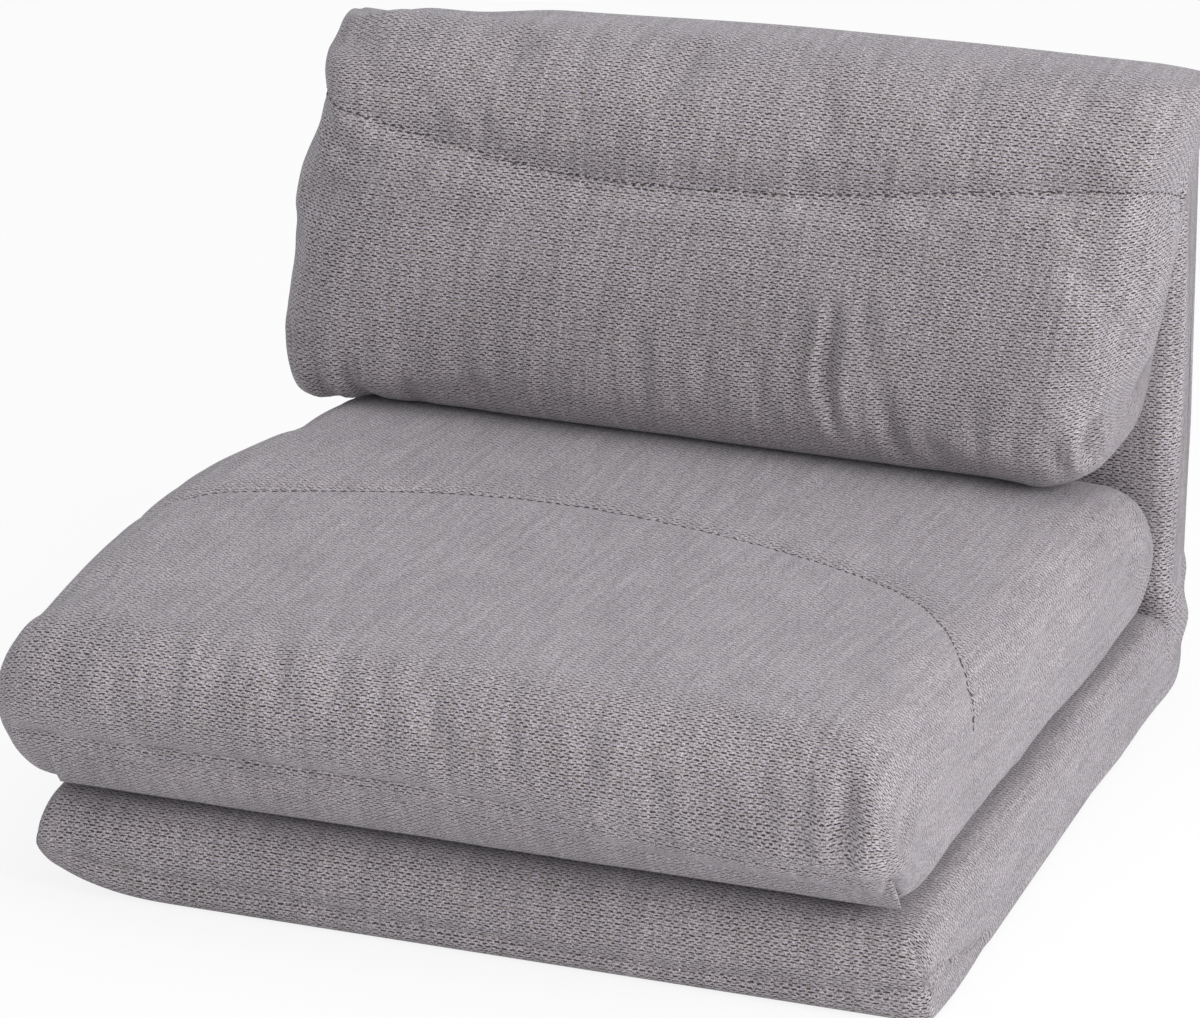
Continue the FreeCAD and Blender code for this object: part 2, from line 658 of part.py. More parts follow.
def hinge_pins(word, side):
    """Pivot rivet and pawl pin of a hinge, which also hold its cap."""
    grip = "Sizes.cap_inside + Sizes.cap_thick - Sizes.plate_inside + 0.2"
    start = "Sizes.plate_inside - 0.1"
    pivot = headed_pin("pivot_rivet_" + word, side, "Sizes.pivot_radius", "pivot_head", "pivot_head_thick",
                       start, grip, "Sizes.turn_y", "Sizes.turn_z")
    keep(pivot, "pivot_rivet_" + word)
    pin = headed_pin("pawl_pin_" + word, side, "Sizes.pawl_pin", "pin_head", "pin_head_thick",
                     start, grip, pin_y, pin_z)
    keep(pin, "pawl_pin_" + word)


def pawl(word, side):
    """Pawl, drawn lifted off the wheel: boss, lever and round nose."""
    name = "pawl_" + word
    x = both_sides(side, "Sizes.arm_inside", "Sizes.plate_thick")
    thick = "Sizes.plate_thick"
    boss = round_bar(name + "_boss", "Sizes.boss_radius", thick, x, pin_y, pin_z)
    nose_place = ["%.6f" % place for place in nose_lifted]
    nose = round_bar(name + "_nose", "Sizes.nose_radius", thick, x, *nose_place)
    start = size("arm_inside") if side > 0 else -size("arm_inside") - size("plate_thick")
    pin = Vector(start, pawl_pin_place[0], pawl_pin_place[1])
    tip = Vector(start, nose_lifted[0], nose_lifted[1])
    across = Vector(0, (tip - pin).z, -(tip - pin).y).normalize()
    broad = size("boss_radius") - 0.8
    slim = size("nose_radius") - 0.1
    corners = [pin + across * broad, tip + across * slim, tip, pin - across * 2.0]
    face = Part.Face(Part.makePolygon(corners + corners[:1]))
    lever = solid_feature(name + "_lever", face.extrude(Vector(size("plate_thick"), 0, 0)))
    eye = bore(name + "_bore", "pawl_pin", 0.05, "plate_thick", x, pin_y, pin_z)
    return keep(cut(name, joined(name + "_blank", [boss, lever, nose]), [eye]), name)


def pawl_spring(word, side):
    """Leaf spring: a foot on the plate's post, and a blade up to the pawl's nose."""
    name = "pawl_spring_" + word
    width = "Sizes.leaf_width"
    thick = "Sizes.leaf_thick"
    x = both_sides(side, "Sizes.arm_inside + 0.2", width)
    blade_y = nose_lifted[0] - size("nose_radius") - 2.0
    foot_y = spring_post[0] - 2.0 * size("post_radius")
    foot_z = "%.6f" % (spring_post[1] + size("post_radius") + 0.05)
    foot_length = "%.6f + %s" % (blade_y - foot_y, thick)
    foot = block(name + "_foot", width, foot_length, thick, x, "%.6f" % foot_y, foot_z)
    blade = block(name + "_blade", width, thick, "Sizes.leaf_rise", x, "%.6f" % blade_y, foot_z)
    return keep(joined(name, [foot, blade]), name)


def frame_rivets(label, leg_alias, outer, places):
    """Rivets that hold the hinge straps on the legs of a frame; places are (y, z) expressions."""
    rivets = []
    for word, side in sides:
        for index, (y, z) in enumerate(places):
            start = "Sizes.%s - Sizes.tube_radius - 0.1" % leg_alias
            length = "Sizes.%s + Sizes.plate_thick + 0.1 - (%s)" % (outer, start)
            name = "%s_%s_%d" % (label, word, index)
            rivets.append(headed_pin(
                name, side, "Sizes.rivet_radius", "rivet_head", "rivet_head_thick", start, length, y, z))
    return keep(joined(label, rivets), label)


for word, side in sides:
    hinge_plate(word, side)
    hinge_arm(word, side)
    hinge_cap(word, side)
    hinge_pins(word, side)
    pawl(word, side)
    pawl_spring(word, side)
frame_rivets("base_strap_rivets", "base_tube_x", "plate_inside",
             [("%g" % place, "Sizes.turn_z") for place in base_rivets_y])
frame_rivets("back_strap_rivets", "back_tube_x", "arm_inside",
             [("Sizes.back_tube_y", "%g" % place) for place in back_rivets_z])


# Foam of the base: two slabs with the frame laid between them, and a roll at the hinge end
def leg_channels(name, leg_alias, end_alias, bar_alias, level, lying):
    """Round channels in the foam for a bent frame and its cross tubes.

    lying is True for the base frame, in a level plane, and False for the back frame.
    """
    wide = size(leg_alias)
    bend = size("frame_bend")
    low = min(size(end_alias), size(bar_alias))
    high = max(size(end_alias), size(bar_alias))
    radius = size("tube_radius") + size("ease")
    bar = size(bar_alias)
    sign = 1 if size(end_alias) > bar else -1

    def at(x, run):
        return Vector(x, run, level) if lying else Vector(x, level, run)

    reach = bend * (1 - math.sqrt(0.5))
    end = size(end_alias) + sign * 4
    knee = bar + sign * bend
    half_way = bar + sign * reach
    edges = [
        Part.LineSegment(at(wide, end), at(wide, knee)).toShape(),
        Part.Arc(at(wide, knee), at(wide - reach, half_way), at(wide - bend, bar)).toShape(),
        Part.LineSegment(at(wide - bend, bar), at(bend - wide, bar)).toShape(),
        Part.Arc(at(bend - wide, bar), at(reach - wide, half_way), at(-wide, knee)).toShape(),
        Part.LineSegment(at(-wide, knee), at(-wide, end)).toShape(),
    ]
    assert high - low > 2 * bend, name + " is too short for its bends"
    path = Part.Wire(edges)
    along = at(0, 1) - at(0, 0)
    ring = Part.Wire([Part.Circle(edges[0].Vertexes[0].Point, along, radius).toShape()])
    return solid_feature(name, path.makePipeShell([ring], True, False))


def cross_channels(name, leg_alias, places):
    """Round channels in the foam for the cross tubes; places are (y, z) expressions."""
    radius = "Sizes.cross_radius + Sizes.ease"
    items = []
    for index, (y, z) in enumerate(places):
        items.append(round_bar("%s_%d" % (name, index), radius, "2 * Sizes.%s" % leg_alias,
                               "-Sizes.%s" % leg_alias, y, z))
    return items


def hinge_pockets(name, y, z, width, height):
    """Pockets in the foam round the hinges and the heads of their rivets."""
    items = []
    for word, side in sides:
        x = both_sides(side, "Sizes.base_tube_x - Sizes.tube_radius - 3", "Sizes.pocket_depth")
        items.append(block("%s_%s" % (name, word), "Sizes.pocket_depth", width, height, x, y, z))
    return items


def foam_slab(label, half_alias, near, far, low, high, tools):
    """Foam slab between four expressions, with its channels and pockets cut."""
    half = "Sizes." + half_alias
    slab = block(label + "_blank", "2 * " + half, "%s - (%s)" % (far, near), "%s - (%s)" % (high, low),
                 "-" + half, near, low)
    return keep(cut(label, slab, tools), label)


def base_foam_tools(name):
    """Everything that the two foam slabs of the base make room for."""
    frame = leg_channels(
        name + "_frame", "base_tube_x", "base_tube_rear", "base_tube_front", size("turn_z"), True)
    pocket_start = base_rivets_y[0] - 20.0
    pocket_low = 10.0
    tools = [frame] + cross_channels(name + "_cross", "base_tube_x", base_crossings)
    tools += hinge_pockets(
        name + "_hinge", "%g" % pocket_start, "%g" % pocket_low,
        "Sizes.turn_y + 66 - %g" % pocket_start, "Sizes.foam_top + 1 - %g" % pocket_low)
    return tools


foam_slab("base_foam_lower", "foam_half_width", "Sizes.foam_front", "Sizes.foam_rear",
          "Sizes.foam_bottom", "Sizes.turn_z", base_foam_tools("base_lower_room"))
foam_slab("base_foam_upper", "foam_half_width", "Sizes.foam_front", "Sizes.foam_rear",
          "Sizes.turn_z", "Sizes.foam_top", base_foam_tools("base_upper_room"))
base_roll = round_bar("base_roll_bar", "Sizes.roll_radius", "2 * Sizes.roll_half_width",
                      "-Sizes.roll_half_width", "Sizes.turn_y", "Sizes.turn_z")
roll_trim = block("base_roll_trim", "2 * Sizes.foam_half_width", "60", "3 * Sizes.roll_radius",
                  "-Sizes.foam_half_width", "Sizes.foam_rear + 7 - 60", "-5")
keep(cut("base_foam_roll_end", base_roll, [roll_trim]), "base_foam_roll")
base_wadding = block("base_wadding_slab", "2 * Sizes.wadding_half_width",
                     "Sizes.foam_rear - Sizes.foam_front - 6", "Sizes.wadding_thick",
                     "-Sizes.wadding_half_width", "Sizes.foam_front + 3", "Sizes.foam_top + 0.3")
keep(base_wadding, "base_wadding")


# Foam of the back panel: two slabs with the frame between them
def back_foam_tools(name):
    """Everything that the two foam slabs of the back panel make room for."""
    frame = leg_channels(
        name + "_frame", "back_tube_x", "back_tube_low", "back_tube_top", size("back_tube_y"), False)
    pocket_low = 80.0
    tools = [frame] + cross_channels(name + "_cross", "back_tube_x", back_crossings)
    tools += hinge_pockets(
        name + "_hinge", "Sizes.panel_front + 6", "%g" % pocket_low,
        "38", "%g" % (back_rivets_z[1] + 20.0 - pocket_low))
    return tools


foam_slab("back_foam_front", "panel_foam_half_width", "Sizes.panel_front + 6", "Sizes.back_tube_y",
          "Sizes.panel_foam_low", "Sizes.panel_foam_high", back_foam_tools("back_front_room"))
foam_slab("back_foam_rear", "panel_foam_half_width", "Sizes.back_tube_y", "Sizes.base_rear - 6",
          "Sizes.panel_foam_low", "Sizes.panel_foam_high", back_foam_tools("back_rear_room"))


# Covers and fillings
def arm_slots(name, y, z, width, height):
    """Slots in the covers for the swinging arms."""
    items = []
    for word, side in sides:
        x = both_sides(side, "Sizes.arm_inside - 0.6", "Sizes.plate_thick + 1.2")
        items.append(block("%s_%s" % (name, word), "Sizes.plate_thick + 1.2", width, height, x, y, z))
    return items


base_shell = shell("base_cover_shell", size("base_half_width"), base_corners, size("cloth"))
floor_cut = block("base_floor_cut", "900", "900", "20", "-450", "-450", "-20")
window = block("base_window", "2 * Sizes.window_half_width", "Sizes.window_rear - Sizes.window_front", "6",
               "-Sizes.window_half_width", "Sizes.window_front", "-3")
base_slots = arm_slots("base_slot", "Sizes.turn_y - 11.5", "Sizes.turn_z - 11.5", "60", "60")
base_on_floor = cut("base_on_floor", base_shell, [floor_cut])
keep(cut("base_cover_cut", base_on_floor, [window] + base_slots), "base_cover")
underside = block("base_underside", "2 * (Sizes.window_half_width - Sizes.ease)",
                  "Sizes.window_rear - Sizes.window_front - 2 * Sizes.ease", "Sizes.under_thick",
                  "Sizes.ease - Sizes.window_half_width", "Sizes.window_front + Sizes.ease", "0")
keep(underside, "base_underside_cloth")

panel_shell = shell("back_panel_shell", size("panel_half_width"), panel_corners, size("cloth"))
panel_slots = arm_slots("panel_slot", "Sizes.turn_y - 11.5", "Sizes.panel_bottom - 3", "24", "12")
keep(cut("back_panel_cut", panel_shell, panel_slots), "back_panel_cover")

cushion_shell = shell("back_cushion_shell", size("cushion_half_width"), cushion_corners, size("cloth"))
keep(cushion_shell, "back_cushion_cover")
fill_inset = size("cloth") + size("ease")
keep(solid_feature("back_cushion_fill", loft_form(size("cushion_half_width"), cushion_corners, fill_inset)),
     "back_cushion_fibre")

seat_shell = shell("seat_shell", size("seat_half_width"), seat_corners, size("cloth"))
keep(seat_shell, "seat_cover")
seat_core = block("seat_core", "2 * Sizes.core_half_width", "Sizes.core_depth", "Sizes.core_thick",
                  "-Sizes.core_half_width", "Sizes.core_front", "Sizes.core_bottom")
keep(seat_core, "seat_foam")
seat_fill = solid_feature("seat_fill", loft_form(size("seat_half_width"), seat_corners, fill_inset))
core_room = block("seat_core_room", "2 * (Sizes.core_half_width + Sizes.ease)",
                  "Sizes.core_depth + 2 * Sizes.ease", "Sizes.core_thick + 2 * Sizes.ease",
                  "-Sizes.core_half_width - Sizes.ease", "Sizes.core_front - Sizes.ease",
                  "Sizes.core_bottom - Sizes.ease")
keep(cut("seat_wadding_cut", seat_fill, [core_room]), "seat_wadding")


# Hinge band along the front: cloth outside, wadding behind, turning about its two seams
def band_strip(label, low_share, high_share):
    """Strip of the hinge band between two depths, given as shares of its thickness."""
    low = Vector(0, size("band_low_y"), size("band_low_z"))
    high = Vector(0, size("band_high_y"), size("band_high_z"))
    along = (high - low).normalize()
    outward = Vector(0, -along.z, along.y)
    half = size("band_half_width")
    thick = size("band_thick")
    near = outward * (thick * (low_share - 0.5))
    far = outward * (thick * (high_share - 0.5))
    inset = along * 1.0
    profile = [low + near + inset, low + far + inset, high + far - inset, high + near - inset]
    corners = [corner + Vector(-half, 0, 0) for corner in profile]
    face = Part.Face(Part.makePolygon(corners + corners[:1]))
    return keep(solid_feature(label + "_strip", face.extrude(Vector(2 * half, 0, 0))), label)


band_strip("hinge_band_cloth", 0.6, 1.0)
band_strip("hinge_band_wadding", 0.0, 0.58)

# Gusset of cover cloth over the recline hinge, on the rear face
gusset = block("back_gusset", "2 * Sizes.gusset_half_width", "Sizes.gusset_thick", "Sizes.gusset_rise",
               "-Sizes.gusset_half_width", "Sizes.base_rear + 0.4", "Sizes.gusset_low")
keep(gusset, "back_gusset_cloth")

doc.recompute()

# Checks and files
for item in doc.Objects:
    if "Invalid" in item.State or "Error" in item.State:
        raise RuntimeError("%s failed: %s" % (item.Name, item.State))
os.makedirs("parts", exist_ok=True)
for item in parts:
    if item.Shape.isNull() or not item.Shape.isValid():
        raise RuntimeError("%s has a bad shape" % item.Label)
for item in parts:
    item.Shape.exportStep("parts/%s.step" % item.Label)
    box = item.Shape.BoundBox
    print("%-22s solids %d volume %.0f  x %.1f %.1f  y %.1f %.1f  z %.1f %.1f" % (
        item.Label, len(item.Shape.Solids), item.Shape.Volume,
        box.XMin, box.XMax, box.YMin, box.YMax, box.ZMin, box.ZMax))
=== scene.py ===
"""Looks of a one-seat fold-out chair bed: pads, covers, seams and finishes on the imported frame."""
import json
import logging
import math
from dataclasses import dataclass
from enum import Enum
from typing import Callable, ClassVar, Sequence

import bpy
import numpy as np
from mathutils import Euler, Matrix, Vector
from mathutils.bvhtree import BVHTree


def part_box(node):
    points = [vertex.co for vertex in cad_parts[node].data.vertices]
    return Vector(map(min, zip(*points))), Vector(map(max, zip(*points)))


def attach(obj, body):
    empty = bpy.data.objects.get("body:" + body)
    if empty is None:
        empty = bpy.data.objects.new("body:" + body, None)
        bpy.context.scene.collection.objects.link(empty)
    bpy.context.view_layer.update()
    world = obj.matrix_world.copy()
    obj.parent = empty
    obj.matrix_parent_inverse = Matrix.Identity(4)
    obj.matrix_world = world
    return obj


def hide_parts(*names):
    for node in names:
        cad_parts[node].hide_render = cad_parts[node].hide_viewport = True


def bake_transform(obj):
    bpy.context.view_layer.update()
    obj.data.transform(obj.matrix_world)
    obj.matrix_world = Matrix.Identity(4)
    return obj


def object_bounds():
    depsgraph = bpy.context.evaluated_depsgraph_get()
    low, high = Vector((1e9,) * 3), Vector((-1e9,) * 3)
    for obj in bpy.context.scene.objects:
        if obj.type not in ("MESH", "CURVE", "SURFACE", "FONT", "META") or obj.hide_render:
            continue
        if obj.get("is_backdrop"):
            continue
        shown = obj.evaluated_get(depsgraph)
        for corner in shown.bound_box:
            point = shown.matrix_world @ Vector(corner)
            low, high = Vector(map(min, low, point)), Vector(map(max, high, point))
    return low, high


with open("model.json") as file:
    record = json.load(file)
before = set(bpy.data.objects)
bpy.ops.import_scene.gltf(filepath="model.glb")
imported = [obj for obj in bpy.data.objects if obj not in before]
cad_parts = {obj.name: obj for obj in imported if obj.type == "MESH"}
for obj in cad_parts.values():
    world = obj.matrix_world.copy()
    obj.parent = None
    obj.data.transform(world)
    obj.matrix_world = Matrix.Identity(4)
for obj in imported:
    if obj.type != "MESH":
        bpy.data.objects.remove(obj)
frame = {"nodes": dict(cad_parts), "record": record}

log = logging.getLogger("chair_bed")
Point = tuple[float, float, float]
Path = tuple[Point, ...]
Ring = tuple[list[tuple[float, float]], list[tuple[float, float]]]
Colour = tuple[float, float, float]
Range = tuple[float, ...]
WEAVE = "weave"
MM = 1000.0
COLOUR = "NodeSocketColor"
NUMBER = "NodeSocketFloat"
VECTOR = "NodeSocketVector"
FINE = 16


class Body(Enum):
    """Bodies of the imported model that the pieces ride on."""

    BASE = "base"
    BAND = "hinge_band"
    SEAT = "seat"
    BACK = "back"


# Curves and meshes


def loop_points(controls: np.ndarray, spans: np.ndarray, shares: np.ndarray) -> np.ndarray:
    """Evaluate a smooth closed curve (a centripetal Catmull-Rom spline) through control points.

    Args:
        controls: Control points of the loop, one per row.
        spans: Index of the span that each wanted point lies on.
        shares: How far along its span each wanted point lies, from 0 to 1.

    Returns:
        The points, one per row.
    """
    shortest = 1e-6
    count = len(controls)
    p = [controls[(spans + step) % count] for step in (-1, 0, 1, 2)]
    gap = [np.maximum(np.linalg.norm(p[k + 1] - p[k], axis=1), shortest) ** 0.5 for k in range(3)]
    t = [np.zeros(len(spans)), gap[0], gap[0] + gap[1], gap[0] + gap[1] + gap[2]]
    at = (t[1] + shares * (t[2] - t[1]))[:, None]
    t = [knot[:, None] for knot in t]
    a = [(p[k] * (t[k + 1] - at) + p[k + 1] * (at - t[k])) / (t[k + 1] - t[k]) for k in range(3)]
    b = [(a[k] * (t[k + 2] - at) + a[k + 1] * (at - t[k])) / (t[k + 2] - t[k]) for k in range(2)]
    return (b[0] * (t[2] - at) + b[1] * (at - t[1])) / (t[2] - t[1])


def walked_along(points: np.ndarray) -> np.ndarray:
    """Measure how far along a row of points each of them lies."""
    return np.concatenate([[0.0], np.cumsum(np.linalg.norm(np.diff(points, axis=0), axis=1))])


def even_shares(controls: np.ndarray, first: int, last: int, count: int) -> tuple[np.ndarray, np.ndarray]:
    """Find evenly spaced places along part of a closed curve.

    Args:
        controls: Control points of the loop.
        first: Control point that the part starts at.
        last: Control point that the part ends at.
        count: Number of steps.

    Returns:
        Span index and share along the span of count places, without the last end.
    """
    samples = 24
    spans = np.repeat(np.arange(first, last), samples)
    shares = np.tile(np.arange(samples) / samples, last - first)
    points = loop_points(controls, spans, shares)
    along = walked_along(np.vstack([points, controls[last % len(controls)][None, :]]))
    wanted = np.linspace(0.0, along[-1], count, endpoint=False)
    whole = np.interp(wanted, along, np.arange(len(along)) / samples)
    return first + np.floor(whole).astype(int), whole - np.floor(whole)


def distance_to_path(points: np.ndarray, path: np.ndarray) -> tuple[np.ndarray, np.ndarray]:
    """Measure how far points lie from a path.

    Args:
        points: Points, one per row.
        path: Corners of the path, with as many columns as the points.

    Returns:
        Distance of each point, and the share of the path's length at its nearest place.
    """
    best = np.full(len(points), np.inf)
    share = np.zeros(len(points))
    lengths = np.linalg.norm(np.diff(path, axis=0), axis=1)
    total = lengths.sum()
    walked = 0.0
    for start, end, length in zip(path[:-1], path[1:], lengths):
        run = end - start
        t = np.clip(((points - start) @ run) / max(length * length, 1e-12), 0.0, 1.0)
        d = np.linalg.norm(points - start - t[:, None] * run, axis=1)
        nearer = d < best
        best[nearer] = d[nearer]
        share[nearer] = (walked + t[nearer] * length) / total
        walked += length
    return best, share


def smooth_path(corners: Sequence[Sequence[float]], steps: int = 12) -> np.ndarray:
    """Round a path of corners into a smooth open curve.

    Args:
        corners: Points that the curve passes through.
        steps: Points on each span.

    Returns:
        Points of the curve, one per row.
    """
    points = np.array(corners, float)
    points = np.vstack([2 * points[0] - points[1], points, 2 * points[-1] - points[-2]])
    spans = np.repeat(np.arange(1, len(points) - 2), steps)
    shares = np.tile(np.arange(steps) / steps, len(points) - 3)
    return np.vstack([loop_points(points, spans, shares), points[-2]])


def rise(value: np.ndarray | float, low: float, width: float) -> np.ndarray:
    """Rise evenly from 0 at low to 1 a width further on; a negative width falls the other way."""
    return np.clip((value - low) / width, 0.0, 1.0)


def smooth_step(value: float, low: float, high: float) -> float:
    """Rise smoothly from 0 at low to 1 at high."""
    t = min(1.0, max(0.0, (value - low) / (high - low)))
    return t * t * (3 - 2 * t)


def vectors(owner: bpy.types.bpy_prop_collection, label: str) -> np.ndarray:
    """Read one vector of each of a mesh's elements.

    Args:
        owner: The mesh's vertices or vertex normals.
        label: Name of the vector.

    Returns:
        The vectors, one per row.
    """
    flat = np.empty(len(owner) * 3, np.float32)
    owner.foreach_get(label, flat)
    return flat.reshape(-1, 3).astype(float)


def coordinates(mesh: bpy.types.Mesh) -> np.ndarray:
    """Read a mesh's vertex places, one per row."""
    return vectors(mesh.vertices, "co")


def set_coordinates(mesh: bpy.types.Mesh, places: np.ndarray) -> None:
    """Write a mesh's vertex places."""
    mesh.vertices.foreach_set("co", places.astype(np.float32).ravel())
    mesh.update()


def mesh_object(name: str, verts: Sequence[Sequence[float]], faces: list[tuple[int, ...]]) -> bpy.types.Object:
    """Make a smooth-shaded mesh object.

    Args:
        name: Name of the object.
        verts: Vertex places, one per row.
        faces: Vertex numbers of each face.

    Returns:
        The object, linked into the scene.
    """
    mesh = bpy.data.meshes.new(name)
    mesh.from_pydata([tuple(v) for v in verts], [], faces)
    mesh.polygons.foreach_set("use_smooth", [True] * len(mesh.polygons))
    mesh.update()
    item = bpy.data.objects.new(name, mesh)
    bpy.context.scene.collection.objects.link(item)
    return item


def set_weave(mesh: bpy.types.Mesh, per_corner: Sequence[Sequence[float]]) -> None:
    """Store where in the weave each face corner lies.

    Args:
        mesh: Mesh of the cloth.
        per_corner: Metres across and along the weave, one row per face corner.
    """
    layer = mesh.attributes.new(WEAVE, "FLOAT_VECTOR", "CORNER")
    values = np.zeros((len(mesh.loops), 3), np.float32)
    values[:, :2] = per_corner
    layer.data.foreach_set("vector", values.ravel())


def apply_modifiers(item: bpy.types.Object) -> None:
    """Turn an object's modifiers into its mesh.

    Args:
        item: The object.
    """
    graph = bpy.context.evaluated_depsgraph_get()
    made = bpy.data.meshes.new_from_object(item.evaluated_get(graph), depsgraph=graph)
    made.name = item.name
    item.modifiers.clear()
    old = item.data
    item.data = made
    bpy.data.meshes.remove(old)


def subdivide(item: bpy.types.Object) -> None:
    """Smooth a mesh by one level of subdivision and keep the result.

    Args:
        item: The object.
    """
    modifier = item.modifiers.new("finer", "SUBSURF")
    modifier.levels = modifier.render_levels = 1
    apply_modifiers(item)


def thicken(item: bpy.types.Object, thickness: float) -> None:
    """Give a single layer of cloth its thickness and keep the result.

    Args:
        item: The cloth.
        thickness: Its thickness.
    """
    item.modifiers.new("thickness", "SOLIDIFY").thickness = thickness
    apply_modifiers(item)


@dataclass
class Swept:
    """A closed soft form swept across the chair through smooth rings.

    Each ring is a pair of chains of (y, z) control points: from the front over the top to the
    rear, and from the rear under the bottom to the front. At both sides the two chains meet.
    """

    name: str
    half_width: float
    side_depth: float
    ring: Callable[[float, float], Ring]
    fullness: float = 2.6
    pitch: float = 0.009
    side_steps: int = 11

    def stations(self) -> list[tuple[float, float]]:
        """List the rings' places.

        Returns:
            For each ring, its x and the share of the thickness left there.
        """
        flat = self.half_width - self.side_depth
        steps = max(2, round(flat / self.pitch))
        inner = [(flat * k / steps, 1.0) for k in range(steps)]
        for k in range(self.side_steps + 1):
            turn = math.pi / 2 * k / self.side_steps
            into = math.sin(turn) ** (2 / self.fullness)
            left = max(0.0, math.cos(turn)) ** (2 / self.fullness)
            inner.append((flat + self.side_depth * into, left))
        return [(-x, left) for x, left in reversed(inner[1:])] + inner

    def build(self) -> bpy.types.Object:
        """Build the form's mesh with its cloth coordinates.

        Returns:
            The object.
        """
        top, bottom = self.ring(0.0, 1.0)
        controls = np.array(top + bottom[1:-1], float)
        turn = len(top) - 1
        n = max(8, round(walked_along(np.array(top))[-1] / self.pitch))
        upper = even_shares(controls, 0, turn, n)
        lower = even_shares(controls, turn, len(controls), n)
        spans = np.concatenate([upper[0], lower[0]])
        shares = np.concatenate([upper[1], lower[1]])
        stations = self.stations()
        grid = np.empty((len(stations), 2 * n, 3))
        for i, (x, left) in enumerate(stations):
            top, bottom = self.ring(x / self.half_width, left)
            grid[i, :, 0] = x
            grid[i, :, 1:] = loop_points(np.array(top + bottom[1:-1], float), spans, shares)
        mirrored = np.concatenate([[0], np.arange(2 * n - 1, 0, -1)])
        for end in (0, -1):
            grid[end] = (grid[end] + grid[end][mirrored]) / 2
        return self.mesh_from(grid, n)

    def mesh_from(self, grid: np.ndarray, n: int) -> bpy.types.Object:
        """Join the grid of ring points into a mesh.

        Args:
            grid: Points by ring and by place round the ring.
            n: Steps of each chain.

        Returns:
            The object.
        """
        rings, around = grid.shape[:2]
        folded = np.array([j if j <= n else around - j for j in range(around)])
        verts = list(grid[0][: n + 1])
        index = np.empty((rings, around), int)
        index[0] = folded
        for i in range(1, rings - 1):
            index[i] = len(verts) + np.arange(around)
            verts.extend(grid[i])
        index[-1] = len(verts) + folded
        verts.extend(grid[-1][: n + 1])
        middle = rings // 2
        across = np.zeros((rings, around))
        steps = np.linalg.norm(np.diff(grid, axis=0), axis=2)
        across[middle + 1:] = np.cumsum(steps[middle:], axis=0)
        across[:middle] = -np.cumsum(steps[:middle][::-1], axis=0)[::-1]
        along = walked_along(np.vstack([grid[middle], grid[middle][:1]]))
        split = n + n // 2
        faces: list[tuple[int, ...]] = []
        cloth: list[tuple[float, float]] = []
        for i in range(rings - 1):
            for j in range(around):
                k = (j + 1) % around
                corners = [(i, j, j), (i + 1, j, j), (i + 1, k, j + 1), (i, k, j + 1)]
                shift = along[-1] if j >= split else 0.0
                face = [index[a, b] for a, b, _ in corners]
                keep = [c for c in range(4) if face[c] != face[c - 1]]
                if len(keep) < 3:
                    continue
                faces.append(tuple(int(face[c]) for c in keep))
                cloth.extend((across[corners[c][0], corners[c][1]], along[corners[c][2]] - shift) for c in keep)
        item = mesh_object(self.name, verts, faces)
        set_weave(item.data, cloth)
        return item


def surface_tree(item: bpy.types.Object) -> BVHTree:
    """Make a tree for finding places on an object's surface."""
    return BVHTree.FromObject(item, bpy.context.evaluated_depsgraph_get())


def lay(item: bpy.types.Object, path: np.ndarray) -> np.ndarray:
    """Move the points of a path to the nearest places on a surface.

    Args:
        item: Object that the path is laid on.
        path: Points near the surface, one per row.

    Returns:
        Points on the surface, one per row.
    """
    tree = surface_tree(item)
    return np.array([tuple(tree.find_nearest(Vector(point))[0]) for point in path])


@dataclass(frozen=True)
class Mark:
    """A line pressed into a surface; its kinds below give the profile across it."""

    path: Path
    depth: float
    width: float
    reach: ClassVar[float]

    def height(self, distance: np.ndarray, share: np.ndarray) -> np.ndarray:
        """Give how far the surface moves outward.

        Args:
            distance: Distance of each vertex from the line.
            share: Share of the line's length at each vertex.

        Returns:
            The height at each vertex.
        """
        raise NotImplementedError

    def press(self, places: np.ndarray, outward: np.ndarray, curve: np.ndarray) -> np.ndarray:
        """Work out how far each vertex moves.

        Args:
            places: Vertex places.
            outward: Vertex normals.
            curve: The line's curve, laid on the surface.

        Returns:
            Moves, one per row.
        """
        reach = self.reach * self.width
        near = np.all((places > curve.min(axis=0) - reach) & (places < curve.max(axis=0) + reach), axis=1)
        moves = np.zeros_like(places)
        if near.any():
            moves[near] = outward[near] * self.height(*distance_to_path(places[near], curve))[:, None]
        return moves


@dataclass(frozen=True)
class Fold(Mark):
    """A crease or ridge that fades towards its ends; depth is positive into the pad."""

    shoulder: float = 0.35
    rim_at: float = 2.1
    fading: float = 0.7
    reach: ClassVar[float] = 4.5

    def height(self, distance: np.ndarray, share: np.ndarray) -> np.ndarray:
        """Give the fold's height, with a low rim on both sides of it.

        Args:
            distance: Distance of each vertex from the line.
            share: Share of the line's length at each vertex.

        Returns:
            The height at each vertex.
        """
        fade = np.clip(np.sin(np.pi * np.clip(share, 0.0, 1.0)), 0.0, 1.0) ** self.fading
        groove = np.exp(-((distance / self.width) ** 2))
        rim = np.exp(-(((distance - self.rim_at * self.width) / self.width) ** 2))
        return (self.shoulder * rim - groove) * self.depth * fade


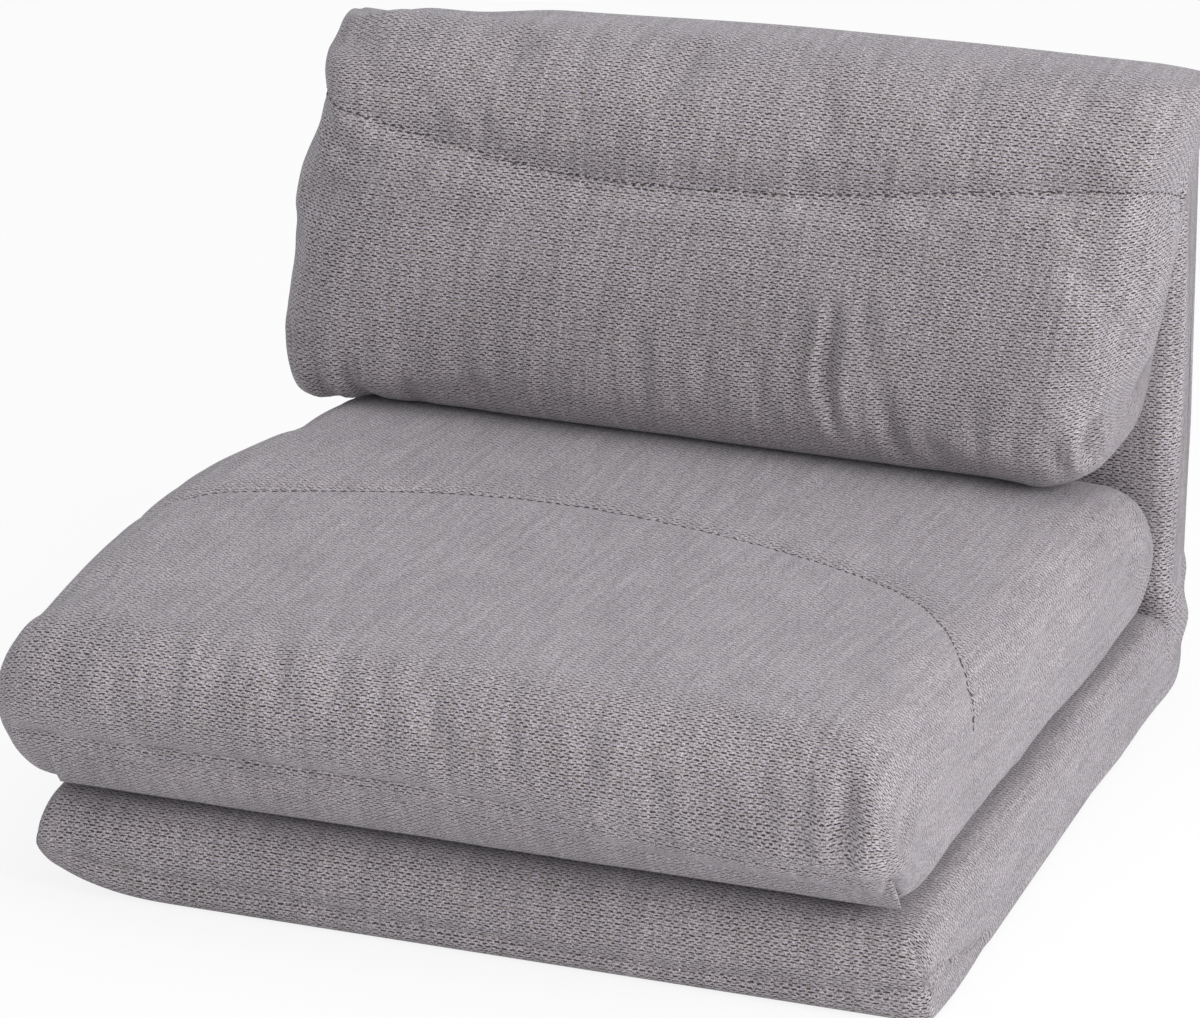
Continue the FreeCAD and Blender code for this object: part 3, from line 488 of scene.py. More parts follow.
@dataclass(frozen=True)
class Seam(Mark):
    """A sewn line over a pad: a soft valley with a narrow groove at its bottom."""

    groove: float = 0.0016
    groove_width: float = 0.0040
    end_share: float = 0.02
    reach: ClassVar[float] = 4.0

    def height(self, distance: np.ndarray, share: np.ndarray) -> np.ndarray:
        """Give the seam's height, which is negative.

        Args:
            distance: Distance of each vertex from the line.
            share: Share of the line's length at each vertex.

        Returns:
            The height at each vertex.
        """
        valley = self.depth * np.exp(-((distance / self.width) ** 2))
        valley = valley + self.groove * np.exp(-((distance / self.groove_width) ** 2))
        return -valley * rise(np.minimum(share, 1.0 - share), 0.0, self.end_share)


def in_metres(*points: Sequence[float]) -> Path:
    """Turn points given in millimetres into a path in metres."""
    return tuple(tuple(value / MM for value in point) for point in points)


def fold_rows(*rows: tuple) -> tuple[Fold, ...]:
    """Make folds from rows in millimetres.

    Args:
        rows: For each fold its depth, its width and the points of its path.

    Returns:
        The folds.
    """
    return tuple(Fold(in_metres(*points), depth / MM, width / MM) for depth, width, *points in rows)


@dataclass(frozen=True)
class Stitches:
    """A row of thread stitches lying in a seam."""

    name: str
    length: float = 0.0052
    gap: float = 0.0030
    radius: float = 0.00062
    sunk: float = 0.35
    arched: float = 0.9
    sides: int = 6
    profile: tuple[tuple[float, float], ...] = ((0.0, 0.25), (0.12, 0.85), (0.5, 1.0), (0.88, 0.85), (1.0, 0.25))

    def build(self, surface: bpy.types.Object, curve: np.ndarray) -> bpy.types.Object:
        """Lay the stitches on a surface.

        Args:
            surface: Object that the seam runs over.
            curve: Points of the seam.

        Returns:
            The object.
        """
        tree = surface_tree(surface)
        along = walked_along(curve)
        verts: list[tuple[float, ...]] = []
        faces: list[tuple[int, ...]] = []
        turns = [2 * math.pi * step / self.sides for step in range(self.sides)]
        for k in range(int(along[-1] / (self.length + self.gap))):
            rows = []
            for share, thick in self.profile:
                at = k * (self.length + self.gap) + share * self.length
                hit = tree.find_nearest(Vector([np.interp(at, along, curve[:, axis]) for axis in range(3)]))
                sink = self.sunk * self.radius - self.arched * self.radius * math.sin(math.pi * share)
                rows.append((hit[0] - hit[1] * sink, hit[1], thick * self.radius))
            run = (rows[-1][0] - rows[0][0]).normalized()
            base = len(verts)
            for centre, up, radius in rows:
                side = run.cross(up).normalized()
                lift = side.cross(run)
                verts += [tuple(centre + (side * math.cos(turn) + lift * math.sin(turn)) * radius) for turn in turns]
            last = len(rows) - 1
            for row in range(last):
                for step in range(self.sides):
                    a = base + row * self.sides + step
                    b = base + row * self.sides + (step + 1) % self.sides
                    faces.append((a, b, b + self.sides, a + self.sides))
            faces.append(tuple(base + step for step in reversed(range(self.sides))))
            faces.append(tuple(base + last * self.sides + step for step in range(self.sides)))
        return mesh_object(self.name, verts, faces)


@dataclass(frozen=True)
class Puff:
    """How a pad is blown up as cloth round its filling."""

    slack: float
    cap: float
    pressure: float = 4.0
    frames: int = 20
    quality: int = 4
    mass: float = 0.25
    tension: float = 12.0
    shear: float = 4.0
    bending: float = 2.0
    damping: float = 2.0
    hold: float = 2.0

    def run(self, item: bpy.types.Object, held: np.ndarray) -> None:
        """Blow the pad up as cloth and keep the result.

        Args:
            item: Pad to blow up.
            held: How firmly each vertex is held in place, from 0 to 1.
        """
        before = coordinates(item.data)
        group = item.vertex_groups.new(name="held")
        for level in np.unique(np.round(held, 1)):
            if level > 0:
                members = [int(v) for v in np.nonzero(np.round(held, 1) == level)[0]]
                group.add(members, float(level), "REPLACE")
        cloth = item.modifiers.new("cloth", "CLOTH")
        rules = cloth.settings
        rules.quality = self.quality
        rules.mass = self.mass
        rules.tension_stiffness = rules.compression_stiffness = self.tension
        rules.shear_stiffness = self.shear
        rules.bending_stiffness = self.bending
        rules.air_damping = self.damping
        rules.use_pressure = True
        rules.uniform_pressure_force = self.pressure
        rules.shrink_min = rules.shrink_max = -self.slack
        rules.vertex_group_mass = group.name
        rules.pin_stiffness = self.hold
        rules.effector_weights.gravity = 0.0
        cloth.collision_settings.use_collision = False
        cloth.point_cache.frame_start = 1
        cloth.point_cache.frame_end = self.frames
        scene = bpy.context.scene
        for step in range(1, self.frames + 1):
            scene.frame_set(step)
        apply_modifiers(item)
        scene.frame_set(1)
        moved = coordinates(item.data) - before
        size = np.maximum(np.linalg.norm(moved, axis=1), 1e-9)
        scale = np.minimum(1.0, self.cap / size)
        set_coordinates(item.data, before + moved * scale[:, None])
        item.vertex_groups.clear()
        log.info("%s puffed, largest move %.1f mm", item.name, MM * float((size * scale).max()))


def press(item: bpy.types.Object, marks: Sequence[Mark]) -> None:
    """Press folds and seams into a surface.

    Args:
        item: Object to press.
        marks: The folds and seams.
    """
    places = coordinates(item.data)
    outward = vectors(item.data.vertex_normals, "vector")
    total = np.zeros_like(places)
    for mark in marks:
        total += mark.press(places, outward, lay(item, smooth_path(mark.path, 8)))
    set_coordinates(item.data, places + total)


def slide(item: bpy.types.Object, shift: Callable[[np.ndarray], np.ndarray]) -> None:
    """Shift a piece sideways.

    Args:
        item: Piece to shift.
        shift: Gives the shift along x at each of the points that it is given.
    """
    places = coordinates(item.data)
    places[:, 0] += shift(places)
    set_coordinates(item.data, places)


# Finishes


class Sheet:
    """A node tree being drawn, with short ways to add nodes."""

    def __init__(self, tree: bpy.types.NodeTree) -> None:
        """Take over a node tree and clear it."""
        self.tree = tree
        tree.nodes.clear()

    def add(self, kind: str, **values: object) -> bpy.types.Node:
        """Add a node.

        Args:
            kind: Type of the node.
            values: Its properties.

        Returns:
            The node.
        """
        node = self.tree.nodes.new(kind)
        for name, value in values.items():
            setattr(node, name, value)
        return node

    def feed(self, socket: bpy.types.NodeSocket, value: object) -> None:
        """Fill an input socket.

        Args:
            socket: The socket.
            value: An output to link it to, a number, vector or colour to set it to, or None.
        """
        if isinstance(value, bpy.types.NodeSocket):
            self.tree.links.new(value, socket)
        elif isinstance(value, tuple) and socket.type == "RGBA":
            socket.default_value = (*value[:3], 1)
        elif value is not None:
            socket.default_value = value

    def place(self, kind: str, sockets: dict[str | int, object], **values: object) -> bpy.types.Node:
        """Add a node and fill its input sockets.

        Args:
            kind: Type of the node.
            sockets: What each named or numbered socket gets, as feed takes it.
            values: The node's properties.

        Returns:
            The node.
        """
        node = self.add(kind, **values)
        for name, value in sockets.items():
            self.feed(node.inputs[name], value)
        return node

    def math(self, operation: str, first: object, second: object = None, clamp: bool = False) -> object:
        """Work on one or two numbers.

        Args:
            operation: Blender's name of the operation.
            first: First number or output.
            second: Second number or output, where there is one.
            clamp: Whether the result is kept between 0 and 1.

        Returns:
            The output.
        """
        return self.place("ShaderNodeMath", {0: first, 1: second}, operation=operation, use_clamp=clamp).outputs[0]

    def times(self, first: object, second: object) -> object:
        """Multiply two numbers."""
        return self.math("MULTIPLY", first, second)

    def plus(self, first: object, second: object) -> object:
        """Add two numbers."""
        return self.math("ADD", first, second)

    def ramp(self, value: object, low: float, high: float, start: float = 0.0, end: float = 1.0) -> object:
        """Map a value smoothly from one range to another.

        Args:
            value: The value.
            low: Value that gives start.
            high: Value that gives end.
            start: Result at low.
            end: Result at high.

        Returns:
            The output.
        """
        sockets = {"Value": value, "From Min": low, "From Max": high, "To Min": start, "To Max": end}
        return self.place("ShaderNodeMapRange", sockets, interpolation_type="SMOOTHSTEP").outputs[0]

    def noise(self, vector: object, scale: object, detail: float = 2.0, rough: float = 0.5) -> object:
        """Add a noise texture.

        Args:
            vector: Where it is read.
            scale: How fine it is.
            detail: Its finer levels.
            rough: Strength of the finer levels.

        Returns:
            Its value.
        """
        sockets = {"Vector": vector, "Scale": scale, "Detail": detail, "Roughness": rough}
        return self.place("ShaderNodeTexNoise", sockets).outputs["Fac"]

    def mix(self, share: object, first: object, second: object, blend: str = "MIX") -> object:
        """Mix two colours.

        Args:
            share: Share of the second colour.
            first: First colour.
            second: Second colour.
            blend: Blender's name of the way they are mixed.

        Returns:
            The colour.
        """
        sockets = {0: share, 6: first, 7: second}
        return self.place("ShaderNodeMix", sockets, data_type="RGBA", blend_type=blend).outputs[2]

    def finish_with(self, shader: object, kind: str = "ShaderNodeOutputMaterial") -> None:
        """Lead a shader to the tree's output."""
        self.place(kind, {"Surface": shader})


def new_group(name: str, takes: dict[str, object], numbers: dict[str, float]) -> tuple[Sheet, dict, dict]:
    """Start a shader node group that gives a colour, a height and a roughness.

    Args:
        name: Name of the group.
        takes: Vector and colour inputs, a colour with its default and a vector with None.
        numbers: Number inputs with their defaults.

    Returns:
        The sheet to draw on, the group's inputs and its outputs.
    """
    tree = bpy.data.node_groups.new(name, "ShaderNodeTree")
    for label, default in (takes | numbers).items():
        kind = NUMBER if label in numbers else VECTOR if default is None else COLOUR
        socket = tree.interface.new_socket(name=label, in_out="INPUT", socket_type=kind)
        if default is not None:
            socket.default_value = default
    for label, kind in (("Color", COLOUR), ("Height", NUMBER), ("Roughness", NUMBER)):
        tree.interface.new_socket(name=label, in_out="OUTPUT", socket_type=kind)
    sheet = Sheet(tree)
    return sheet, sheet.add("NodeGroupInput").outputs, sheet.add("NodeGroupOutput").inputs


@dataclass(frozen=True)
class Weave:
    """Make-up of the chenille weave; scales are per metre, ranges as Sheet.ramp takes them."""

    column: float = 0.0067
    row: float = 0.0046
    wander_scale: float = 190.0
    wander_across: float = 0.0032
    wander_along: float = 0.0022
    dash_across: Range = (0.38, 0.26)
    dot_across: Range = (0.28, 0.12)
    mark_along: Range = (0.17, 0.07)
    mark_detail: Range = (2.0, 0.6)
    dash_scale: float = 130.0
    dash_range: Range = (0.30, 0.62, 0.62, 1.30)
    dot_scale: float = 210.0
    dot_range: Range = (0.34, 0.62, 0.40, 1.25)
    worn_scale: float = 15.0
    worn_range: Range = (0.34, 0.66, 0.80, 1.10)
    slub_stretch: Point = (1.0, 0.07, 1.0)
    slub: Point = (150.0, 3.0, 0.6)
    slub_range: Range = (0.25, 0.75, 0.86, 1.14)
    fuzz: Point = (760.0, 3.0, 0.85)
    fuzz_range: Range = (0.34, 0.66, 0.44, 1.60)
    cloud: Range = (9.0, 3.0)
    cloud_range: Range = (0.3, 0.7, 0.96, 1.04)
    # Painted highlight on the yarn loops: where it rises and falls across a loop, the painted shade level at its edges
    # and the highlight's gain.
    rib_highlight_rise: Range = (0.05, 0.25)
    rib_highlight_fall: Range = (0.02, 0.22)
    rib_shade_level: float = 0.90
    rib_highlight_gain: float = 0.16
    hue: Point = (330.0, 2.0, 0.7)
    hue_range: Range = (0.36, 0.64)
    warm: Colour = (1.005, 1.010, 0.94)
    cool: Colour = (0.985, 0.980, 1.07)
    pile_low: float = 0.82
    pile_gain: float = 0.36
    yarn_height: float = 0.7
    nap: Point = (700.0, 3.0, 0.75)
    nap_height: float = 0.60
    roughness: float = 0.82
    gap_roughness: float = 0.15

    def group(self) -> bpy.types.NodeTree:
        """Build the node group: rows of short dark dashes with dots between them, slub, fuzz and a painted highlight
        on each yarn loop.

        Returns:
            The group.
        """
        sheet, given, result = new_group(
            "Chenille weave",
            {"Cloth": None, "Yarn": (0.3, 0.27, 0.27, 1), "Gap": (0.06, 0.05, 0.055, 1)},
            {"Contrast": 1.0, "Column": self.column, "Row": self.row},
        )
        times, plus, ramp, noise, cloth = sheet.times, sheet.plus, sheet.ramp, sheet.noise, given["Cloth"]
        wave = sheet.place("ShaderNodeTexNoise", {"Vector": cloth, "Scale": self.wander_scale}, noise_dimensions="2D")
        wander = sheet.place("ShaderNodeSeparateColor", {0: wave.outputs["Color"]}).outputs
        parts = sheet.place("ShaderNodeSeparateXYZ", {0: cloth}).outputs
        places = []
        for axis, (most, size) in enumerate(((self.wander_across, "Column"), (self.wander_along, "Row"))):
            shifted = plus(parts[axis], times(sheet.math("SUBTRACT", wander[axis], 0.5), most))
            places.append(sheet.math("PINGPONG", sheet.math("DIVIDE", shifted, given[size]), 0.5))
        across, along = places
        other_across, other_along = (sheet.math("SUBTRACT", 0.5, place) for place in places)
        dash = times(ramp(across, *self.dash_across), ramp(along, *self.mark_along))
        dot = times(ramp(other_across, *self.dot_across), ramp(other_along, *self.mark_along))
        first = ramp(noise(cloth, self.dash_scale, *self.mark_detail), *self.dash_range)
        second = ramp(noise(cloth, self.dot_scale, *self.mark_detail), *self.dot_range)
        marks = sheet.math("MAXIMUM", times(dash, first), times(dot, second))
        worn = ramp(noise(cloth, self.worn_scale), *self.worn_range)
        share = sheet.math("MULTIPLY", times(marks, worn), given["Contrast"], True)
        long = sheet.place("ShaderNodeVectorMath", {0: cloth, 1: self.slub_stretch}, operation="MULTIPLY").outputs[0]
        slub = ramp(noise(long, *self.slub), *self.slub_range)
        fuzz = ramp(noise(cloth, *self.fuzz), *self.fuzz_range)
        cloud = ramp(noise(cloth, *self.cloud), *self.cloud_range)
        # Painted light and shade: the middle of each yarn loop between the dash rows is lightened and its edges
        # darkened, as a lit bulge would look.
        loops = times(ramp(along, *self.rib_highlight_rise), ramp(other_along, *self.rib_highlight_fall))
        rib_painted_light = plus(self.rib_shade_level, times(loops, self.rib_highlight_gain))
        hue = ramp(noise(cloth, *self.hue), *self.hue_range)
        pile = times(cloud, plus(self.pile_low, times(hue, self.pile_gain)))
        # The tone holds random slub, fuzz and pile variation together with the painted loop highlight.
        tone = times(times(slub, fuzz), times(pile, rib_painted_light))
        yarn = sheet.mix(1.0, given["Yarn"], sheet.mix(hue, self.warm, self.cool), "MULTIPLY")
        base = sheet.mix(share, yarn, given["Gap"])
        shaded = sheet.place("ShaderNodeVectorMath", {0: base, "Scale": tone}, operation="SCALE").outputs[0]
        sheet.feed(result["Color"], shaded)
        yarns = times(sheet.math("SUBTRACT", 1.0, share), self.yarn_height)
        sheet.feed(result["Height"], plus(yarns, times(noise(cloth, *self.nap), self.nap_height)))
        sheet.feed(result["Roughness"], plus(self.roughness, times(share, self.gap_roughness)))
        return sheet.tree


@dataclass(frozen=True)
class Variation:
    """Make-up of an even surface variation: broad tone, fine grain and a height for bump."""

    detail: float = 4.0
    fine_share: float = 0.6
    broad_share: float = 0.4
    tone_range: Range = (0.36, 0.66)
    roughness_gain: float = 0.3

    def group(self) -> bpy.types.NodeTree:
        """Build the node group.

        Returns:
            The group.
        """
        sheet, given, result = new_group(
            "Surface variation",
            {"Place": None, "Tone": (0.5, 0.5, 0.5, 1), "Deep": (0.3, 0.3, 0.3, 1)},
            {"Grain": 400.0, "Broad": 25.0, "Roughness": 0.5},
        )
        times, plus, place = sheet.times, sheet.plus, given["Place"]
        fine = sheet.noise(place, given["Grain"], self.detail)
        wide = sheet.noise(place, given["Broad"])
        share = sheet.ramp(plus(times(fine, self.fine_share), times(wide, self.broad_share)), *self.tone_range)
        sheet.feed(result["Color"], sheet.mix(share, given["Deep"], given["Tone"]))
        sheet.feed(result["Height"], fine)
        change = times(sheet.math("SUBTRACT", wide, 0.5), self.roughness_gain)
        sheet.feed(result["Roughness"], plus(given["Roughness"], change))
        return sheet.tree


def new_material(name: str) -> tuple[bpy.types.Material, Sheet]:
    """Start a material.

    Args:
        name: Name of the material.

    Returns:
        The material and the sheet to draw it on.
    """
    material = bpy.data.materials.new(name)
    material.use_nodes = True
    return material, Sheet(material.node_tree)


@dataclass(frozen=True)
class Finish:
    """What the finishes have in common: a node group's colour, roughness and bump on one shader."""

    name: str

    def shade(self, sheet: Sheet, varied: bpy.types.Node, bump: Range, plain: dict[str, object]) -> None:
        """Draw the shader round a node group.

        Args:
            sheet: The material's sheet.
            varied: The node group's node.
            bump: Strength and height of the bump.
            plain: Values that are the same all over the surface, by the shader's sockets.
        """
        given = varied.outputs
        relief = sheet.place("ShaderNodeBump", {"Strength": bump[0], "Distance": bump[1], "Height": given["Height"]})
        looks = {"Base Color": given["Color"], "Roughness": given["Roughness"], "Normal": relief.outputs["Normal"]}
        sheet.finish_with(sheet.place("ShaderNodeBsdfPrincipled", looks | plain).outputs["BSDF"])


@dataclass(frozen=True)
class ChenilleFinish(Finish):
    """Grey taupe chenille of the covers."""

    yarn: Colour = (0.368, 0.338, 0.346)
    gap: Colour = (0.062, 0.050, 0.058)
    contrast: float = 1.0
    bump: float = 0.75
    bump_height: float = 0.0011
    specular: float = 0.15
    sheen: float = 0.32
    sheen_roughness: float = 0.45
    sheen_tint: Colour = (0.86, 0.88, 0.95)

    def make(self, group: bpy.types.NodeTree) -> bpy.types.Material:
        """Make the material.

        Args:
            group: The chenille weave group.

        Returns:
            The material.
        """
        material, sheet = new_material(self.name)
        cloth = sheet.add("ShaderNodeAttribute", attribute_name=WEAVE).outputs["Vector"]
        sockets = {"Cloth": cloth, "Yarn": self.yarn, "Gap": self.gap, "Contrast": self.contrast}
        woven = sheet.place("ShaderNodeGroup", sockets, node_tree=group)
        plain = {
            "Specular IOR Level": self.specular, "Sheen Weight": self.sheen,
            "Sheen Roughness": self.sheen_roughness, "Sheen Tint": self.sheen_tint,
        }
        self.shade(sheet, woven, (self.bump, self.bump_height), plain)
        return material


@dataclass(frozen=True)
class PlainFinish(Finish):
    """A finish with an even surface variation, such as foam, thread, steel or spunbond cloth."""

    tone: Colour
    deep: Colour
    roughness: float = 0.6
    metallic: float = 0.0
    grain: float = 500.0
    broad: float = 30.0
    bump: float = 0.2
    bump_height: float = 0.0006

    def make(self, group: bpy.types.NodeTree) -> bpy.types.Material:
        """Make the material.

        Args:
            group: The surface variation group.

        Returns:
            The material.
        """
        material, sheet = new_material(self.name)
        sockets = {
            "Place": sheet.add("ShaderNodeTexCoord").outputs["Object"], "Tone": self.tone, "Deep": self.deep,
            "Grain": self.grain, "Broad": self.broad, "Roughness": self.roughness,
        }
        varied = sheet.place("ShaderNodeGroup", sockets, node_tree=group)
        self.shade(sheet, varied, (self.bump, self.bump_height), {"Metallic": self.metallic})
        return material


class Finishes:
    """All finishes of the chair bed, made once."""

    def __init__(self) -> None:
        """Make the node groups and the materials."""
        even = Variation().group()
        self.cover = ChenilleFinish("cover_chenille").make(Weave().group())
        made = [
            finish.make(even) for finish in (
                # The seam thread's near-black colour is painted shade of the stitch holes; the stitches themselves are
                # real.
                PlainFinish("seam_thread_painted_shade", (0.075, 0.065, 0.07), (0.03, 0.026, 0.03), 0.8, grain=2500),
                PlainFinish("hem_thread", (0.36, 0.33, 0.335), (0.20, 0.18, 0.19), 0.8, grain=2500),
                PlainFinish("cushion_foam", (0.72, 0.66, 0.45), (0.55, 0.48, 0.30), 0.9, grain=900, bump=0.7),
                PlainFinish("fibre_fill", (0.86, 0.86, 0.84), (0.7, 0.7, 0.68), 0.95, grain=350, bump=0.8),
                PlainFinish("frame_coat", (0.03, 0.03, 0.032), (0.012, 0.012, 0.013), 0.45, grain=1500, bump=0.3),
                PlainFinish("zinc_plate", (0.62, 0.62, 0.6), (0.45, 0.45, 0.46), 0.38, 1.0, 700, 60, 0.1),
                PlainFinish("zinc_rivet", (0.66, 0.66, 0.66), (0.5, 0.5, 0.52), 0.32, 1.0, 900, 90, 0.08),
                PlainFinish("blued_spring", (0.22, 0.24, 0.34), (0.12, 0.12, 0.18), 0.3, 1.0, 900, 90, 0.05),
                PlainFinish("underside_spunbond", (0.03, 0.03, 0.032), (0.014, 0.014, 0.015), 0.9,
                            grain=1300, bump=0.6),
            )
        ]
        self.thread, self.pale_thread, self.foam, self.fibre, self.tube = made[:5]
        self.plate, self.rivet, self.spring, self.under = made[5:]

    def dress_frame(self) -> None:
        """Give each carried-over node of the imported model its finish."""
        by_slot = {
            "foam": self.foam, "fibre_fill": self.fibre, "frame_steel": self.tube, "hinge_steel": self.plate,
            "spring_steel": self.spring, "rivet_steel": self.rivet, "underside_cloth": self.under,
            "cover_weave": self.cover,
        }
        slots = {entry["node"]: entry["material_slot"] for entry in frame["record"]["subparts"]}
        for name, node in frame["nodes"].items():
            node.data.materials.clear()
            node.data.materials.append(by_slot[slots[name]])


def fit(item: bpy.types.Object, body: Body, finish: bpy.types.Material) -> bpy.types.Object:
    """Dress a piece and set it on its body.

    Args:
        item: Piece to fit.
        body: Body that it rides on.
        finish: Its material.

    Returns:
        The piece.
    """
    item.data.materials.clear()
    item.data.materials.append(finish)
    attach(item, body.value)
    log.info("%s: %d faces on %s", item.name, len(item.data.polygons), body.value)
    return item


# Sub-assemblies


@dataclass
class SeatPad:
    """Thick seat pad with its stitched arch and wrinkled front."""

    half_width: float = 0.379
    side_depth: float = 0.060
    fullness: float = 3.0
    pitch: float = 0.0075
    front: float = -0.387
    rear: float = 0.324
    bottom: float = 0.0845
    middle: float = 0.146
    end_height: float = 0.160
    crown: float = 0.004
    front_draw: float = 0.040
    rear_draw: float = 0.032
    front_tuck: float = 0.010
    right_sag: float = 0.018
    left_lift: float = 0.015
    shift: float = -0.011
    right_tuck: float = 0.006
    left_bulge: float = 0.011
    rear_tuck: float = 0.030
    swell: float = 0.006
    sewn_front: tuple[float, float] = (-0.33, 0.141)
    stitched_above: float = 0.1425
    arch: Seam = Seam(
        in_metres(
            (-392, -130, 190), (-356, -76, 226), (-281, -16, 224), (-176, 49, 216), (-74, 62, 215), (49, 46, 215),
            (146, 18, 215), (225, -17, 215), (270, -50, 215), (304, -92, 219), (333, -130, 220), (350, -145, 208),
            (362, -160, 190), (369, -168, 167),
        ),
        depth=0.0020, width=0.014,
    )
    hem: Seam = Seam(
        in_metres(
            (-372, -350, 145), (-250, -362, 145), (-100, -363.5, 144.5), (13, -363.5, 144), (109, -363, 140),
            (209, -361, 134), (300, -358, 128), (346, -352, 122),
        ),
        depth=0.0038, width=0.009, groove=0.0020,
    )
    dart: Seam = Seam(in_metres((350, -356, 128), (349, -348, 112), (345, -330, 94)), depth=0.004, width=0.008)
    folds: tuple[Fold, ...] = fold_rows(
        (2.8, 10, (-173, -285, 234), (-149, -355, 227), (-134, -380, 205), (-121, -387, 176)),
        (-2.2, 9, (-237, -306, 233), (-214, -368, 218), (-213, -387, 183), (-214, -383, 158)),
        (1.6, 10, (-112, -306, 234), (-90, -368, 219), (-78, -386, 187)),
        (-2, 9, (-61, -309, 234), (-41, -369, 219), (-32, -386, 186), (-30, -380, 160)),
        (2.4, 8, (-20, -358, 226), (-4, -384, 197), (3, -384, 161), (4, -372, 146)),
        (1.8, 8, (37, -358, 226), (52, -383, 201), (60, -384, 161), (61, -372, 146)),
        (2, 9, (94, -347, 230), (112, -381, 205), (121, -386, 167)),
        (2, 9, (157, -364, 221), (169, -386, 191), (176, -382, 158), (177, -372, 142)),
        (2.2, 9, (248, -372, 214), (259, -387, 184), (262, -372, 150)),
        (-4.2, 8, (298, -370, 215), (305, -387, 183), (301, -366, 140)),
        (5, 7, (317, -353, 225), (324, -379, 204), (325, -386, 174), (318, -362, 138)),
        (-3, 8, (334, -350, 222), (341, -376, 196), (340, -378, 165), (334, -358, 136)),
        (2, 10, (-278, -360, 222), (-274, -385, 191), (-280, -382, 157)),
        (1.8, 9, (-325, -350, 222), (-322, -378, 191), (-322, -372, 155)),
        (3, 9, (367, -300, 185), (366, -345, 165), (356, -356, 138)),
        (2.4, 13, (351, -66, 209), (357, -137, 204), (364, -195, 194), (368, -243, 172)),
        (3, 14, (361, 168, 191), (362, 91, 185), (364, 13, 172), (366, -73, 150)),
        (4, 15, (366, -60, 165), (368, -150, 160), (368, -230, 150), (366, -310, 140)),
        (2, 10, (330, 270, 205), (350, 262, 190), (362, 240, 165), (364, 215, 135)),
    )

    def ring(self, share: float, left: float) -> Ring:
        """Give the pad's control points at one place across it.

        Args:
            share: Place across the pad, from -1 to 1.
            left: Share of the thickness left there.

        Returns:
            The upper and the lower chain.
        """
        fall = 1.0 - left
        crown = self.crown * share * share
        front = self.front + self.front_draw * fall
        rear = self.rear - self.rear_draw * fall
        tuck = self.front_tuck * (1.0 - smooth_step(abs(share), 0.895, 0.93))
        sag = self.right_sag * smooth_step(share, -0.1, 0.9)
        lift = self.left_lift * smooth_step(-share, 0.35, 0.95)
        full = left ** (1.0 - 0.35 * smooth_step(-share, 0.3, 0.9))
        nose = (front, self.middle + 0.036 * left)

        def up(height: float) -> float:
            """Place a height of the top, which falls to the pad's middle at its sides."""
            return self.middle + (height - crown - self.middle) * full

        def down(height: float) -> float:
            """Place a height of the underside, which rises to the pad's middle at its sides."""
            return self.middle - (self.middle - height) * left ** 0.48

        top = [
            nose, (front + 0.009, up(0.210)), (front + 0.036, up(0.229)), (front + 0.092, up(0.2345)),
            (-0.205 + 0.02 * fall, up(0.231 + 0.6 * lift)), (-0.085, up(0.223 + lift)), (0.050, up(0.216 + lift)),
            (0.160, up(0.214 + 0.5 * lift)), (rear - 0.066, up(0.211)), (rear - 0.018, up(0.198)),
            (rear, up(self.end_height)),
        ]
        bottom = [
            (rear, up(self.end_height)), (rear - 0.005, down(0.118)), (rear - 0.028, down(0.091)),
            (0.250 - 0.02 * fall, down(self.bottom)), (0.0, down(self.bottom)),
            (-0.250 + 0.02 * fall, down(self.bottom)), (front + 0.072, down(self.bottom + 0.0015)),
            (front + 0.042 + tuck, down(0.108 - 0.4 * sag)), (front + 0.022 + tuck * 0.3, down(0.137 - sag)),
            (front + 0.006, down(0.154 - 0.6 * sag)), nose,
        ]
        return top, bottom

    def skew(self, at: np.ndarray) -> np.ndarray:
        """Give the sideways shift that sets the pad askew.

        Args:
            at: Points of the pad, one per row.

        Returns:
            Shift along x at each point.
        """
        right = rise(at[:, 0], 0.0, self.half_width) ** 2
        left = rise(at[:, 0], 0.0, -self.half_width) ** 2
        bulge = self.left_bulge * np.exp(-(((at[:, 1] + 0.05) / 0.17) ** 2))
        tuck = self.rear_tuck * rise(at[:, 1], 0.03, 0.20)
        return self.shift - right * self.right_tuck + left * (tuck - bulge)

    def build(self, finishes: Finishes) -> bpy.types.Object:
        """Build and dress the pad.

        Args:
            finishes: The chair's finishes.

        Returns:
            The pad.
        """
        pad = Swept("seat_pad", self.half_width, self.side_depth, self.ring, self.fullness, self.pitch).build()
        places = coordinates(pad.data)
        held = np.zeros(len(places))
        held[places[:, 2] < self.bottom + 0.004] = 1.0
        held[(places[:, 1] < self.sewn_front[0]) & (places[:, 2] < self.sewn_front[1])] = 1.0
        Puff(slack=self.swell, cap=self.swell).run(pad, held)
        slide(pad, self.skew)
        subdivide(pad)
        press(pad, [self.arch, self.hem, self.dart, *self.folds])
        # The arch stitches take the near-black seam thread, whose colour is painted shade.
        stitches = Stitches("seat_arch_stitches").build(pad, smooth_path(self.arch.path, FINE))
        fit(stitches, Body.SEAT, finishes.thread)
        hem = smooth_path(self.hem.path, FINE)
        hem = hem[hem[:, 2] > self.stitched_above]
        fit(Stitches("seat_hem_stitches").build(pad, hem), Body.SEAT, finishes.pale_thread)
        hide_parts("seat_cover", "seat_wadding")
        return fit(pad, Body.SEAT, finishes.cover)


